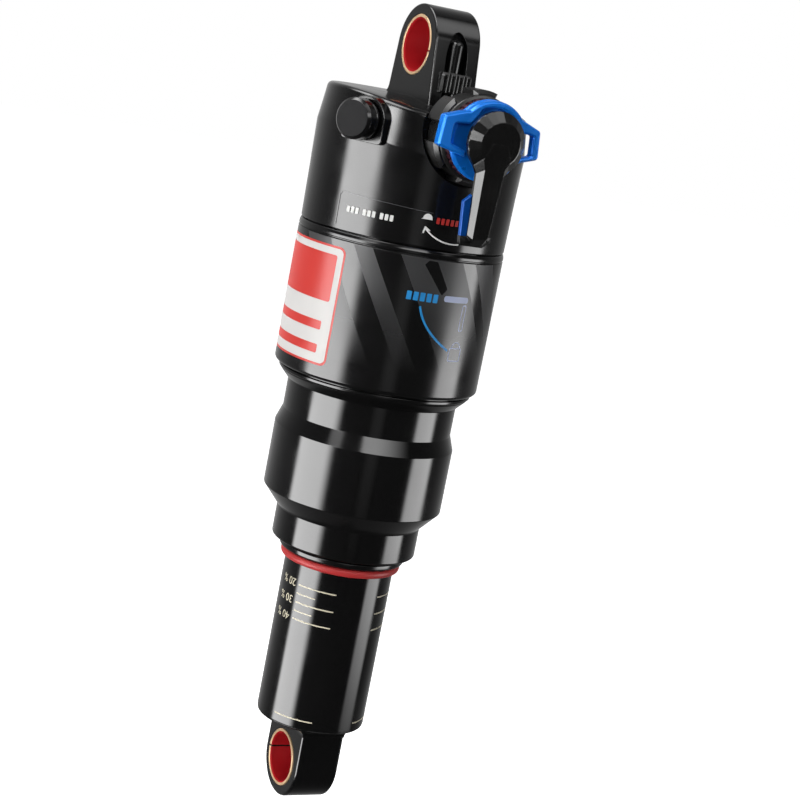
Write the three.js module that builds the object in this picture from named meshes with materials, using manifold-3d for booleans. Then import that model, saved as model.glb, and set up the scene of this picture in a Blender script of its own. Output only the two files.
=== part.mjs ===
// Rear shock for a mountain bike: a 190 mm air shock with 45 mm of stroke.
// Millimetres, +Z up. The origin is the centre of the upper eye, X runs along both eye bores,
// and the adjusters point along -Y. The lower eye is on the Z axis, straight below the origin.
import * as THREE from 'three';
import { mergeVertices } from 'three/addons/utils/BufferGeometryUtils.js';
import Module from 'manifold-3d';

const wasm = await Module();
wasm.setup();

// ---------------------------------------------------------------- driving dimensions
const EYE_TO_EYE = 190;
const EYE_RADIUS = 10.2;
const UPPER_EYE_WIDTH = 12.5;
const LOWER_EYE_WIDTH = 12.1;
const BUSHING_WIDTH = 12.7;
const BUSHING_R = 7.5;
const BUSHING_BORE_R = 6.35;
const EYE_BORE_R = 7.6;
const BUSHING_SLIT = 0.5;
const UPPER_SLIT_TURN = 98;
const LOWER_SLIT_TURN = -66;

const HEAD_TOP = -12.5;
const HEAD_KINK = -22;
const HEAD_BOTTOM = -46.8;
const HEAD_KINK_R = 26.5;
const HEAD_BOTTOM_R = 26.1;
const HEAD_CAVITY_TOP = -40;
const SHAFT_BOSS_BOTTOM = -43.4;
const SPIGOT_R = 24.2;
const SPIGOT_BORE_R = 22.3;
const SPIGOT_BOTTOM = -56;
const SPIGOT_GROOVE = { bottom: -53.2, top: -51.2, r: 22.9 };
const VALVE_BOSS_R = 6.4;
const VALVE_BORE_R = 3.6;
const POCKET_APEX = 4.8;
const COLLAR_TOP = -5.2;
const COLLAR_HALF_WIDTH = 4.2;

const CAN_TOP = -47.1;
const CAN_BOTTOM = -83.9;
const CAN_R = 26.33;
const CAN_BORE_R = 24.5;
const CAN_LIP_BORE_R = 22.3;

const SLEEVE_R = 21.98;
const AIR_BORE_R = 19.5;
const INNER_CAN_TOP = -50;
const SLEEVE_END = -96;
const SLEEVE_GROOVE = { bottom: -54.2, top: -52.2, r: 20.88 };
const BULGE_R = 23.36;
const BULGE_TOP = -99.5;
const BULGE_BOTTOM = -116.2;
const BULGE_BORE_R = 21.2;
const NECK_R = 18.9;
const NECK_TOP = -121.3;
const NECK_BOTTOM = -129.3;
const NECK_EDGE = 0.5;
const NECK_BORE_R = 14.7;
const NECK_BUSHING_POCKET = { bottom: -123.4, top: -119.5, r: 16.2 };
const NECK_SEAL_POCKET = { bottom: -126.2, top: -124, r: 16.6 };
const WIPER_POCKET = { top: -127, r: 16.9 };
const WIPER_LIP_R = 16.45;
const WIPER_BOTTOM = -132.1;

const BODY_R = 14.3;
const BODY_BORE_R = 12.6;
const BODY_TOP = -97.8;
const BODY_BOTTOM = -176.95;
const CAP_TOP = -177;
const CAP_BOTTOM = -177.6;
const CAP_SPIGOT_TOP = -169.2;
const CHAMBER_R = 10.4;
const CHAMBER_FLOOR = -174.4;
const FILL_BORE_Z = -180;
const FILL_BORE_R = 1.6;

const SHAFT_R = 4.5;
const SHAFT_BORE_R = 2.9;
const SHAFT_TOP = -30;
const SHAFT_BOTTOM = -117.4;
const STUD_R = 3.5;
const STUD_TOP = -103.6;
const NEEDLE_BORE_R = 2;
const NEEDLE_BORE_TOP = -108.6;

const AIR_PISTON_TOP = -90;
const AIR_PISTON_FLANGE = -97.5;
const AIR_PISTON_BOTTOM = -102;
const AIR_PISTON_R = 19.2;
const AIR_PISTON_GROOVE = { bottom: -93.4, top: -91.2, r: 17.6 };
const GLIDE_GROOVE = { bottom: -96.4, top: -94.6, r: 18 };
const SHAFT_BUSHING_POCKET = { bottom: -97.6, top: -92, r: 5.8 };
const SHAFT_SEAL_POCKET = { bottom: -100.6, top: -98.4, r: 6.4 };

const MAIN_PISTON_R = 12.2;
const MAIN_PISTON_TOP = -106.8;
const MAIN_PISTON_BOTTOM = -112.8;
const MAIN_PISTON_GROOVE = { bottom: -111.4, top: -108.2, r: 11.4 };
const PORT_R = 1.1;
const PORT_CIRCLE_R = 7.6;
const SHIM_THICKNESS = 0.3;
const SHIM_PITCH = 0.5;

const FLOATING_PISTON_R = 12.3;
const FLOATING_PISTON_TOP = -158.6;
const FLOATING_PISTON_BOTTOM = -163;
const FLOATING_GROOVE = { bottom: -161.9, top: -160, r: 11.2 };

const SAG_RING_Z = -133.3;
const SAG_RING_HALF_HEIGHT = 0.98;
const SAG_RING_WIDTH = 1.4;

const DIAL_Z = -18.9;
const HOUSING_BACK = 22.4;
const HOUSING_FRONT = 29.4;
const HOUSING_R = 10.3;
const HOUSING_LUG_R = 11.5;
const DETENT_REACH = 7.4;
const DETENT_BORE_R = 0.95;
const DETENT_BALL_R = 0.65;
const DETENT_FLOOR = 24.6;
const REBOUND_DIAL_R = 9.75;
const COMPRESSION_DIAL_R = 10.2;
const DIAL_BORE_R = 1.9;
const WING_REACH = 13.9;
const HUB_R = 7.55;
const HUB_FACE_R = 5.2;
const LEVER_LENGTH = 24.6;
const LEVER_HALF_WIDTH = 3.8;
const LEVER_FRONT = 39.8;
const LEVER_BACK = 36.1;
const LEVER_SCREW_OUT = 36.9;
const WING_FRONT = 35.5;
const ROD_R = 1.2;
const ROD_OFFSET = 1.5;
const ROD_BOTTOM = -107;
const REBOUND_CAM_R = 3.7;
const LEVER_CAM_R = 2.0;
const CAM_THROW = 0.8;

const VALVE_TURN = THREE.MathUtils.degToRad(-58);
const VALVE_Z = -19.6;
const VALVE_FACE = 33.7;
const VALVE_CAP_R = 4.75;
const VALVE_CAP_BACK = 29.2;
const VALVE_STEM_R = 2.9;
const VALVE_STEM_BACK = 18;
const VALVE_STEM_FRONT = 32.2;

const GAP = 0.3;
const COARSE = 16;
const MEDIUM = 24;
const FINE = 32;

// ---------------------------------------------------------------- solids
// A closed three.js geometry as a manifold-3d solid.
function solid(geometry) {
  const bare = geometry.clone();
  bare.deleteAttribute('normal');
  bare.deleteAttribute('uv');
  const merged = mergeVertices(bare, 1e-4);
  const corners = merged.index.array;
  const kept = [];
  for (let i = 0; i < corners.length; i += 3) {
    const [a, b, c] = corners.slice(i, i + 3);
    if (a !== b && b !== c && a !== c) {
      kept.push(a, b, c);
    }
  }
  const made = new wasm.Manifold(new wasm.Mesh({
    numProp: 3,
    vertProperties: merged.attributes.position.array,
    triVerts: new Uint32Array(kept),
  }));
  return made;
}

function geometryOf(made) {
  const { numProp, vertProperties, triVerts } = made.getMesh();
  const positions = new Float32Array((vertProperties.length / numProp) * 3);
  for (let i = 0; i < positions.length / 3; i += 1) {
    positions.set(vertProperties.subarray(i * numProp, i * numProp + 3), i * 3);
  }
  const geometry = new THREE.BufferGeometry();
  geometry.setAttribute('position', new THREE.BufferAttribute(positions, 3));
  geometry.setIndex(new THREE.BufferAttribute(triVerts, 1));
  return geometry;
}

// The signed area of an outline of [r, z] points, positive when it runs anticlockwise.
function signedArea(outline) {
  return outline.reduce((sum, [r, z], i) => {
    const [nextR, nextZ] = outline[(i + 1) % outline.length];
    return sum + (r * nextZ - nextR * z) / 2;
  }, 0);
}

// A ring or disc turned about the Z axis from an outline of [r, z] corners.
function turned(outline, segments) {
  const corners = signedArea(outline) > 0 ? outline : [...outline].reverse();
  const points = [...corners, corners[0]].map(([r, z]) => new THREE.Vector2(r, z));
  return solid(new THREE.LatheGeometry(points, segments).rotateX(Math.PI / 2));
}

function ring(innerR, outerR, bottom, top, segments) {
  return turned([[innerR, bottom], [outerR, bottom], [outerR, top], [innerR, top]], segments);
}

function rod(r, bottom, top, segments) {
  return ring(0, r, bottom, top, segments);
}

// Corners along the quarter of an ellipse that rounds a rim off, from [r0, z0] to [r1, z1].
function quarter([r0, z0], [r1, z1], steps) {
  const corners = [];
  for (let i = 0; i <= steps; i += 1) {
    const t = (i / steps) * (Math.PI / 2);
    corners.push([r0 + (r1 - r0) * (1 - Math.cos(t)), z0 + (z1 - z0) * Math.sin(t)]);
  }
  return corners;
}

function box([x0, x1], [y0, y1], [z0, z1]) {
  const geometry = new THREE.BoxGeometry(x1 - x0, y1 - y0, z1 - z0);
  return solid(geometry.translate((x0 + x1) / 2, (y0 + y1) / 2, (z0 + z1) / 2));
}

// A flat outline extruded along +Z from "bottom" to "top".
function prism(shape, bottom, top, curveSegments = 12) {
  const depth = top - bottom;
  const geometry = new THREE.ExtrudeGeometry(shape, { depth, bevelEnabled: false, curveSegments });
  return solid(geometry.translate(0, 0, bottom));
}

function moved(made, matrix) {
  return solid(geometryOf(made).applyMatrix4(matrix));
}

// Turns a solid made along Z so that its +Z points along +X.
const ALONG_X = new THREE.Matrix4().makeRotationY(Math.PI / 2);

// Turns a solid made along Z so that its +Z points along -Y, its X stays, and its Y becomes the row's Z,
// on the adjusters' axis.
const ON_DIAL_AXIS = new THREE.Matrix4()
  .makeTranslation(0, 0, DIAL_Z)
  .multiply(new THREE.Matrix4().makeRotationX(Math.PI / 2));

// Turns a solid made along Z so that its +Z points out along the air valve.
const ON_VALVE_AXIS = new THREE.Matrix4()
  .makeTranslation(0, 0, VALVE_Z)
  .multiply(new THREE.Matrix4().makeRotationZ(VALVE_TURN))
  .multiply(new THREE.Matrix4().makeRotationX(Math.PI / 2));

const acrossX = (made) => moved(made, ALONG_X);
const onDialAxis = (made) => moved(made, ON_DIAL_AXIS);
const onValveAxis = (made) => moved(made, ON_VALVE_AXIS);
const shifted = (made, x, y, z) => moved(made, new THREE.Matrix4().makeTranslation(x, y, z));

// ---------------------------------------------------------------- materials
const finish = (color, roughness, metalness) =>
  new THREE.MeshStandardMaterial({ color, roughness, metalness });

const materials = {
  blackAnodised: finish(0x141416, 0.22, 0.6),
  satinBlack: finish(0x1b1b1d, 0.45, 0.4),
  blueAnodised: finish(0x0b63c9, 0.28, 0.8),
  redAnodised: finish(0x4a1020, 0.3, 0.7),
  redRubber: finish(0xc23a3c, 0.6, 0),
  blackRubber: finish(0x111111, 0.75, 0),
  bronze: finish(0xb08a5a, 0.4, 0.8),
  steel: finish(0x9a9da1, 0.3, 1),
  aluminium: finish(0xb8bbbf, 0.35, 1),
  plastic: finish(0x26282b, 0.5, 0),
};

const shock = new THREE.Group();

function add(name, made, material) {
  const mesh = new THREE.Mesh(geometryOf(made), material);
  mesh.name = name;
  shock.add(mesh);
}

// ---------------------------------------------------------------- eyes
// The eye's outline in the YZ plane, drawn as (x: -Z, y: Y) so that acrossX stands it up.
// Its flanks run straight from the round end to half widths "front" and "rear" at depth "base".
function eyeShape(front, rear, base) {
  const shape = new THREE.Shape();
  const lean = 0.06;
  shape.moveTo(base, rear);
  shape.lineTo(EYE_RADIUS * lean, EYE_RADIUS);
  shape.absarc(0, 0, EYE_RADIUS, Math.PI / 2, (3 * Math.PI) / 2, false);
  shape.lineTo(base, -front);
  shape.closePath();
  return shape;
}

function eyeSlab(shape, width, edge) {
  const geometry = new THREE.ExtrudeGeometry(shape, {
    depth: width - 2 * edge,
    bevelThickness: edge,
    bevelSize: edge,
    bevelOffset: -edge,
    bevelSegments: 1,
    curveSegments: FINE / 2,
  });
  return acrossX(solid(geometry.translate(0, 0, edge - width / 2)));
}

const eyeBore = (z) => shifted(acrossX(rod(EYE_BORE_R, -15, 15, FINE)), 0, 0, z);

// A split sleeve; "slitTurn" turns its slit about X, from straight up towards the front.
function bushing(z, slitTurn) {
  const half = BUSHING_WIDTH / 2;
  const sleeve = acrossX(ring(BUSHING_BORE_R, BUSHING_R, -half, half, FINE));
  const slit = box([-half - 1, half + 1], [-BUSHING_SLIT / 2, BUSHING_SLIT / 2], [0, BUSHING_R + 1]);
  const turn = new THREE.Matrix4().makeRotationX(THREE.MathUtils.degToRad(slitTurn));
  return shifted(sleeve.subtract(moved(slit, turn)), 0, 0, z);
}

// ---------------------------------------------------------------- head
function pocketShape(halfWidth, bottom, shoulder, apex) {
  const shape = new THREE.Shape();
  shape.moveTo(-halfWidth, bottom);
  shape.lineTo(halfWidth, bottom);
  shape.lineTo(halfWidth, shoulder);
  shape.quadraticCurveTo(halfWidth * 0.8, shoulder + (apex - shoulder) * 0.7, 0, apex);
  shape.quadraticCurveTo(-halfWidth * 0.8, shoulder + (apex - shoulder) * 0.7, -halfWidth, shoulder);
  shape.closePath();
  return shape;
}

// Stands a shape drawn in X and Z up in the XZ plane, reaching from y = -far to y = -near.
function facingFront(shape, near, far, curveSegments = 4) {
  const geometry = new THREE.ExtrudeGeometry(shape, {
    depth: far - near, bevelEnabled: false, curveSegments,
  });
  return solid(geometry.rotateX(Math.PI / 2).translate(0, -near, 0));
}

function headBody() {
  const top = quarter([HEAD_KINK_R - 1.1, HEAD_TOP - 1.4], [HEAD_KINK_R - 2.6, HEAD_TOP], 3);
  let made = turned([
    [0, SHAFT_BOSS_BOTTOM], [7.6, SHAFT_BOSS_BOTTOM], [8, SHAFT_BOSS_BOTTOM + 0.4],
    [8, HEAD_CAVITY_TOP], [AIR_BORE_R + 0.3, HEAD_CAVITY_TOP], [AIR_BORE_R + 0.3, INNER_CAN_TOP + GAP],
    [SPIGOT_BORE_R, INNER_CAN_TOP + GAP], [SPIGOT_BORE_R, SPIGOT_BOTTOM], [SPIGOT_R, SPIGOT_BOTTOM],
    [SPIGOT_R, HEAD_BOTTOM], [HEAD_BOTTOM_R, HEAD_BOTTOM], [HEAD_KINK_R, HEAD_KINK],
    ...top, [0, HEAD_TOP],
  ], FINE);
  const slab = eyeSlab(eyeShape(13, 11, 14), UPPER_EYE_WIDTH, 0.5);
  made = made.add(slab);
  const valveBoss = onValveAxis(turned([
    [0, 20], [VALVE_BOSS_R, 20], [VALVE_BOSS_R, 27.2], [VALVE_BOSS_R - 0.8, 28.2], [0, 28.2],
  ], COARSE));
  made = made.add(valveBoss).subtract(eyeBore(0));

  const arch = facingFront(pocketShape(3.1, HEAD_TOP, -2.5, POCKET_APEX), 8.2, 14);
  made = made.subtract(arch);
  const rib = shifted(rod(1.7, -13, 2.6, 12), 0, -8.4, 0);
  const collar = box([-COLLAR_HALF_WIDTH, COLLAR_HALF_WIDTH], [-12.6, -8.4], [-9.6, COLLAR_TOP]);
  made = made.add(rib.add(collar).subtract(eyeBore(0)));
  [-2.8, 0, 2.8].forEach((x) => {
    made = made.subtract(shifted(rod(0.8, -9.9, -5, 8), x, -12.7, 0));
  });

  const housingSeat = onDialAxis(rod(HOUSING_LUG_R + 0.6, HOUSING_BACK - GAP, 40, MEDIUM));
  const frontPocket = box([-5.6, 5.6], [-30, -13.4], [HEAD_TOP - 0.7, HEAD_TOP + 1]);
  const spindleBore = onDialAxis(rod(5.3, -6.5, 40, COARSE));
  const rodBore = rod(SHAFT_BORE_R, -35, DIAL_Z, COARSE);
  const shaftBore = rod(SHAFT_R + 0.1, HEAD_BOTTOM - 1, SHAFT_TOP + GAP, MEDIUM);
  const valveBore = onValveAxis(rod(VALVE_BORE_R, 15, 40, COARSE));
  const valveDrop = moved(rod(1.6, -45, VALVE_Z, 12), new THREE.Matrix4()
    .makeRotationZ(VALVE_TURN)
    .multiply(new THREE.Matrix4().makeTranslation(0, -17, 0)));
  const { bottom, top: grooveTop, r } = SPIGOT_GROOVE;
  const oringGroove = ring(r, SPIGOT_R + 1, bottom, grooveTop, FINE);
  return [housingSeat, frontPocket, spindleBore, rodBore, shaftBore, valveBore, valveDrop, oringGroove]
    .reduce((rest, cut) => rest.subtract(cut), made);
}

// ---------------------------------------------------------------- air cans
function airCan() {
  const groove = [[CAN_R, -48.6], [CAN_R - 0.25, -48.8], [CAN_R, -49]];
  const foot = quarter([CAN_R, CAN_BOTTOM + 1.2], [CAN_R - 1.2, CAN_BOTTOM], 3);
  return turned([
    [CAN_BORE_R, CAN_TOP], [CAN_R - 0.4, CAN_TOP], [CAN_R, CAN_TOP - 0.4], ...groove, ...foot,
    [CAN_LIP_BORE_R, CAN_BOTTOM], [CAN_LIP_BORE_R, CAN_BOTTOM + 2.6], [CAN_BORE_R, CAN_BOTTOM + 2.6],
  ], FINE);
}

// The corners of a groove or pocket cut into a wall at radius "wallR", in order from its top to its bottom.
function notch(wallR, { bottom, top, r }) {
  return [[wallR, top], [r, top], [r, bottom], [wallR, bottom]];
}

function innerAirCan() {
  return turned([
    [AIR_BORE_R, INNER_CAN_TOP], [SLEEVE_R, INNER_CAN_TOP], ...notch(SLEEVE_R, SLEEVE_GROOVE),
    [SLEEVE_R, SLEEVE_END], [BULGE_R, BULGE_TOP], [BULGE_R, BULGE_BOTTOM], [NECK_R, NECK_TOP],
    [NECK_R, NECK_BOTTOM + NECK_EDGE], [NECK_R - NECK_EDGE, NECK_BOTTOM], [WIPER_POCKET.r, NECK_BOTTOM],
    [WIPER_POCKET.r, WIPER_POCKET.top], [NECK_BORE_R, WIPER_POCKET.top],
    ...notch(NECK_BORE_R, NECK_SEAL_POCKET).reverse(), [NECK_BORE_R, NECK_BUSHING_POCKET.bottom],
    [NECK_BUSHING_POCKET.r, NECK_BUSHING_POCKET.bottom], [NECK_BUSHING_POCKET.r, NECK_BUSHING_POCKET.top],
    [BULGE_BORE_R - 1.5, -119], [BULGE_BORE_R, -115], [BULGE_BORE_R, -100.5], [AIR_BORE_R, -97.2],
  ], FINE);
}

function wiperSeal() {
  const bodyTop = WIPER_POCKET.top - 0.2;
  const bodyR = WIPER_POCKET.r - 0.2;
  return turned([
    [NECK_BORE_R + 0.2, bodyTop], [bodyR, bodyTop], [bodyR, NECK_BOTTOM], [WIPER_LIP_R, NECK_BOTTOM - 0.2],
    [WIPER_LIP_R, WIPER_BOTTOM + 0.6], [WIPER_LIP_R - 0.6, WIPER_BOTTOM], [BODY_R + 0.25, WIPER_BOTTOM],
    [BODY_R + 0.25, WIPER_BOTTOM + 0.6], [NECK_BORE_R + 0.2, WIPER_BOTTOM + 1],
  ], MEDIUM);
}

function lockRing() {
  return turned([
    [SLEEVE_R + 0.15, -88], [22.3, -88], [24.3, -85.7], [24.75, -85.1], [24.9, -84.2],
    [SLEEVE_R + 0.15, -84.2],
  ], FINE);
}

// A rubber ring whose outer edges are rounded off.
function sealRing(innerR, outerR, bottom, top, segments) {
  const edge = Math.min(outerR - innerR, top - bottom) * 0.3;
  return turned([
    [innerR, bottom], [outerR - edge, bottom], [outerR, bottom + edge], [outerR, top - edge],
    [outerR - edge, top], [innerR, top],
  ], segments);
}

// A rubber ring that sits in a groove and reaches out almost to the wall outside it.
function sealIn({ bottom, top, r }, wallR) {
  return sealRing(r + 0.2, wallR - 0.15, bottom + 0.2, top - 0.2, MEDIUM);
}

// A plain sliding band that fills a groove and reaches out almost to the bore outside it.
function bandIn({ bottom, top, r }, boreR) {
  return ring(r + 0.1, boreR - 0.15, bottom + 0.2, top - 0.2, MEDIUM);
}

// A plain bearing ring that fills a pocket and reaches in almost to the tube inside it.
function linerIn({ bottom, top, r }, tubeR) {
  return ring(tubeR + 0.2, r - 0.1, bottom + 0.2, top - 0.3, MEDIUM);
}

// A rubber ring that fills a pocket and reaches in almost to the tube inside it.
function lipIn({ bottom, top, r }, tubeR) {
  return sealRing(tubeR + 0.2, r - 0.1, bottom + 0.2, top - 0.2, MEDIUM);
}

// ---------------------------------------------------------------- damper
function lowerEye() {
  const z = -EYE_TO_EYE;
  const spigotR = BODY_BORE_R - GAP;
  const cap = turned([
    [0, CAP_BOTTOM], [BODY_R - 0.3, CAP_BOTTOM], [BODY_R, CAP_BOTTOM + 0.3], [BODY_R, CAP_TOP],
    [spigotR, CAP_TOP], [spigotR, CAP_SPIGOT_TOP], [CHAMBER_R, CAP_SPIGOT_TOP], [CHAMBER_R, CHAMBER_FLOOR],
    [0, CHAMBER_FLOOR],
  ], FINE);
  const slab = moved(
    eyeSlab(eyeShape(10.1, 10.1, CAP_BOTTOM - z + 1.1), LOWER_EYE_WIDTH, 0.5),
    new THREE.Matrix4().makeTranslation(0, 0, z).multiply(new THREE.Matrix4().makeRotationX(Math.PI)),
  );
  const well = rod(FILL_BORE_R, FILL_BORE_Z - 1, CHAMBER_FLOOR + 1, 12);
  const fillBore = fromFillBore(rod(FILL_BORE_R, 0, 20, 12));
  return cap.add(slab).subtract(eyeBore(z)).subtract(well).subtract(fillBore);
}

// Turns a solid made along Z so that it lies in the gas filling bore, which opens towards +Y.
function fromFillBore(made) {
  return moved(made, new THREE.Matrix4()
    .makeTranslation(0, 0, FILL_BORE_Z)
    .multiply(new THREE.Matrix4().makeRotationX(-Math.PI / 2)));
}

function gasFillScrew() {
  return fromFillBore(rod(FILL_BORE_R - 0.15, 6.5, 9.8, 12).subtract(hexPrism(0.7, 8.6, 11)));
}

function hexPrism(r, bottom, top) {
  return solid(new THREE.CylinderGeometry(r, r, top - bottom, 6)
    .rotateX(Math.PI / 2)
    .translate(0, 0, (top + bottom) / 2));
}

function airPiston() {
  const rimR = SHAFT_R + 0.9;
  const boreR = SHAFT_R + 0.3;
  const spigotR = BODY_BORE_R - GAP;
  return turned([
    [rimR, AIR_PISTON_TOP], [AIR_PISTON_R, AIR_PISTON_TOP],
    ...notch(AIR_PISTON_R, AIR_PISTON_GROOVE), ...notch(AIR_PISTON_R, GLIDE_GROOVE),
    [AIR_PISTON_R, AIR_PISTON_FLANGE], [spigotR, AIR_PISTON_FLANGE], [spigotR, AIR_PISTON_BOTTOM],
    [boreR, AIR_PISTON_BOTTOM], ...notch(boreR, SHAFT_SEAL_POCKET).reverse(),
    [boreR, SHAFT_BUSHING_POCKET.bottom], [SHAFT_BUSHING_POCKET.r, SHAFT_BUSHING_POCKET.bottom],
    [SHAFT_BUSHING_POCKET.r, SHAFT_BUSHING_POCKET.top], [rimR, SHAFT_BUSHING_POCKET.top],
  ], MEDIUM);
}

function damperShaft() {
  return turned([
    [SHAFT_BORE_R, SHAFT_TOP], [SHAFT_R, SHAFT_TOP], [SHAFT_R, STUD_TOP], [STUD_R, STUD_TOP],
    [STUD_R, SHAFT_BOTTOM], [NEEDLE_BORE_R, SHAFT_BOTTOM], [NEEDLE_BORE_R, NEEDLE_BORE_TOP],
    [SHAFT_BORE_R, NEEDLE_BORE_TOP + 0.4],
  ], MEDIUM);
}

function mainPiston() {
  let made = turned([
    [STUD_R + 0.15, MAIN_PISTON_TOP], [MAIN_PISTON_R, MAIN_PISTON_TOP],
    ...notch(MAIN_PISTON_R, MAIN_PISTON_GROOVE), [MAIN_PISTON_R, MAIN_PISTON_BOTTOM],
    [STUD_R + 0.15, MAIN_PISTON_BOTTOM],
  ], MEDIUM);
  const ports = 6;
  const port = rod(PORT_R, MAIN_PISTON_BOTTOM - 1, MAIN_PISTON_TOP + 1, 8);
  for (let i = 0; i < ports; i += 1) {
    const turn = (i * 2 * Math.PI) / ports;
    made = made.subtract(shifted(port, PORT_CIRCLE_R * Math.cos(turn), PORT_CIRCLE_R * Math.sin(turn), 0));
  }
  return made;
}

// One thin steel shim on the stud.
function shim(r, top) {
  return ring(STUD_R + 0.15, r, top - SHIM_THICKNESS, top, COARSE);
}

function floatingPiston() {
  return turned([
    [0, FLOATING_PISTON_TOP], [FLOATING_PISTON_R, FLOATING_PISTON_TOP],
    ...notch(FLOATING_PISTON_R, FLOATING_GROOVE), [FLOATING_PISTON_R, FLOATING_PISTON_BOTTOM],
    [0, FLOATING_PISTON_BOTTOM],
  ], MEDIUM);
}

function sagRing() {
  const innerR = BODY_R + 0.08;
  const middleR = innerR + SAG_RING_WIDTH / 2;
  const outerR = innerR + SAG_RING_WIDTH;
  const tall = SAG_RING_HALF_HEIGHT;
  const short = tall / 2;
  return turned([
    [innerR, SAG_RING_Z - short], [middleR, SAG_RING_Z - tall], [outerR, SAG_RING_Z - short],
    [outerR, SAG_RING_Z + short], [middleR, SAG_RING_Z + tall], [innerR, SAG_RING_Z + short],
  ], FINE);
}

function hexNut(acrossFlats, boreR, bottom, top) {
  const r = acrossFlats / Math.sqrt(3);
  const block = hexPrism(r, bottom, top);
  return block.subtract(rod(boreR, bottom - 1, top + 1, COARSE));
}

// ---------------------------------------------------------------- adjusters
// These are made along Z with their fronts up, and then turned to face along -Y.
function adjusterHousing() {
  const lugs = 6;
  const lugWidth = 6.6;
  const lugFront = HOUSING_FRONT - 1.6;
  let made = turned([
    [5.05, HOUSING_BACK], [HOUSING_R, HOUSING_BACK], [HOUSING_R, HOUSING_FRONT - 0.6],
    [HOUSING_R - 0.6, HOUSING_FRONT], [5.05, HOUSING_FRONT],
  ], MEDIUM);
  for (let i = 0; i < lugs; i += 1) {
    const turn = new THREE.Matrix4().makeRotationZ((i * 2 * Math.PI) / lugs);
    const lug = box([-lugWidth / 2, lugWidth / 2], [HOUSING_R - 2, HOUSING_LUG_R], [HOUSING_BACK, lugFront]);
    made = made.add(moved(lug, turn));
  }
  const sleeve = ring(REBOUND_CAM_R + 0.35, 5.15, 6, HOUSING_BACK + 1, COARSE);
  const detentBore = shifted(rod(DETENT_BORE_R, DETENT_FLOOR, HOUSING_FRONT + 1, 12), 0, DETENT_REACH, 0);
  return onDialAxis(made.add(sleeve).subtract(detentBore));
}

function detentBall() {
  const ball = new THREE.IcosahedronGeometry(DETENT_BALL_R, 1);
  return onDialAxis(solid(ball.translate(0, DETENT_REACH, HOUSING_FRONT - 0.4)));
}

// A coil spring along Z, from "bottom" to "top".
function coilSpring(coilR, wireR, turns, bottom, top) {
  const steps = 8 * turns;
  const points = [];
  for (let i = 0; i <= steps; i += 1) {
    const t = (i / steps) * turns * 2 * Math.PI;
    points.push(new THREE.Vector3(
      coilR * Math.cos(t),
      coilR * Math.sin(t),
      bottom + ((top - bottom) * i) / steps,
    ));
  }
  const section = new THREE.Shape().absarc(0, 0, wireR, 0, 2 * Math.PI, false);
  return solid(new THREE.ExtrudeGeometry(section, {
    steps, curveSegments: 5, bevelEnabled: false, extrudePath: new THREE.CatmullRomCurve3(points),
  }));
}

function detentSpring() {
  const wireR = 0.13;
  const spring = coilSpring(DETENT_BORE_R - 0.3, wireR, 4, DETENT_FLOOR + 0.3, HOUSING_FRONT - 1.5);
  return onDialAxis(shifted(spring, 0, DETENT_REACH, 0));
}

function reboundDial() {
  const back = HOUSING_FRONT + 0.35;
  const front = back + 1.9;
  let made = turned([
    [3, back], [REBOUND_DIAL_R - 0.3, back], [REBOUND_DIAL_R, back + 0.3], [REBOUND_DIAL_R, front - 0.3],
    [REBOUND_DIAL_R - 0.3, front], [3, front],
  ], FINE);
  const notches = 14;
  for (let i = 0; i < notches; i += 1) {
    const turn = (i * 2 * Math.PI) / notches;
    const x = (REBOUND_DIAL_R + 0.25) * Math.cos(turn);
    const y = (REBOUND_DIAL_R + 0.25) * Math.sin(turn);
    made = made.subtract(shifted(rod(0.6, back - 1, front + 1, 5), x, y, 0));
  }
  const camBack = 0.5;
  const camFront = ROD_OFFSET + ROD_R + 0.2;
  const spindle = ring(3, REBOUND_CAM_R, camFront, front - 0.5, COARSE);
  const cam = shifted(ring(3.4, REBOUND_CAM_R, camBack, camFront + 0.4, COARSE), CAM_THROW, 0, 0);
  return onDialAxis(made.add(spindle).add(cam));
}

function wingShape() {
  const shape = new THREE.Shape();
  shape.moveTo(7, -5);
  shape.lineTo(WING_REACH - 1, -3.4);
  shape.lineTo(WING_REACH, -2.4);
  shape.lineTo(WING_REACH, 2.7);
  shape.lineTo(WING_REACH - 1.3, 4);
  shape.lineTo(7, 5.2);
  shape.closePath();
  const window = new THREE.Path();
  window.moveTo(9.3, 2.5);
  window.lineTo(11.4, 2.2);
  window.lineTo(11.4, -2);
  window.lineTo(9.3, -2.3);
  window.closePath();
  shape.holes.push(window);
  return shape;
}

function compressionDial() {
  const back = HOUSING_FRONT + 2.6;
  const front = back + 2.9;
  let made = turned([
    [DIAL_BORE_R, back], [COMPRESSION_DIAL_R - 0.3, back], [COMPRESSION_DIAL_R, back + 0.3],
    [COMPRESSION_DIAL_R, back + 1.2], [8.7, front], [DIAL_BORE_R, front],
  ], FINE);
  const wing = prism(wingShape(), back, WING_FRONT);
  const half = new THREE.Matrix4().makeRotationZ(Math.PI);
  made = made.add(wing).add(moved(wing, half));
  const hollow = ring(5.4, 7.6, back + 1.3, 40, MEDIUM);
  const spindle = ring(DIAL_BORE_R, 2.75, 4, front, COARSE);
  return onDialAxis(made.subtract(hollow).add(spindle));
}

function leverShape(halfWidth, hubR, length, cut) {
  const shape = new THREE.Shape();
  const reach = Math.sqrt(hubR * hubR - halfWidth * halfWidth);
  const startTurn = Math.atan2(-reach, halfWidth);
  shape.moveTo(-halfWidth, -length + cut);
  shape.lineTo(-halfWidth + cut * 0.8, -length);
  shape.lineTo(halfWidth - cut * 0.8, -length);
  shape.lineTo(halfWidth, -length + cut);
  shape.lineTo(halfWidth, -reach);
  shape.absarc(0, 0, hubR, startTurn, startTurn + 2 * Math.PI - 2 * (Math.PI / 2 + startTurn), false);
  shape.closePath();
  return shape;
}

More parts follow.
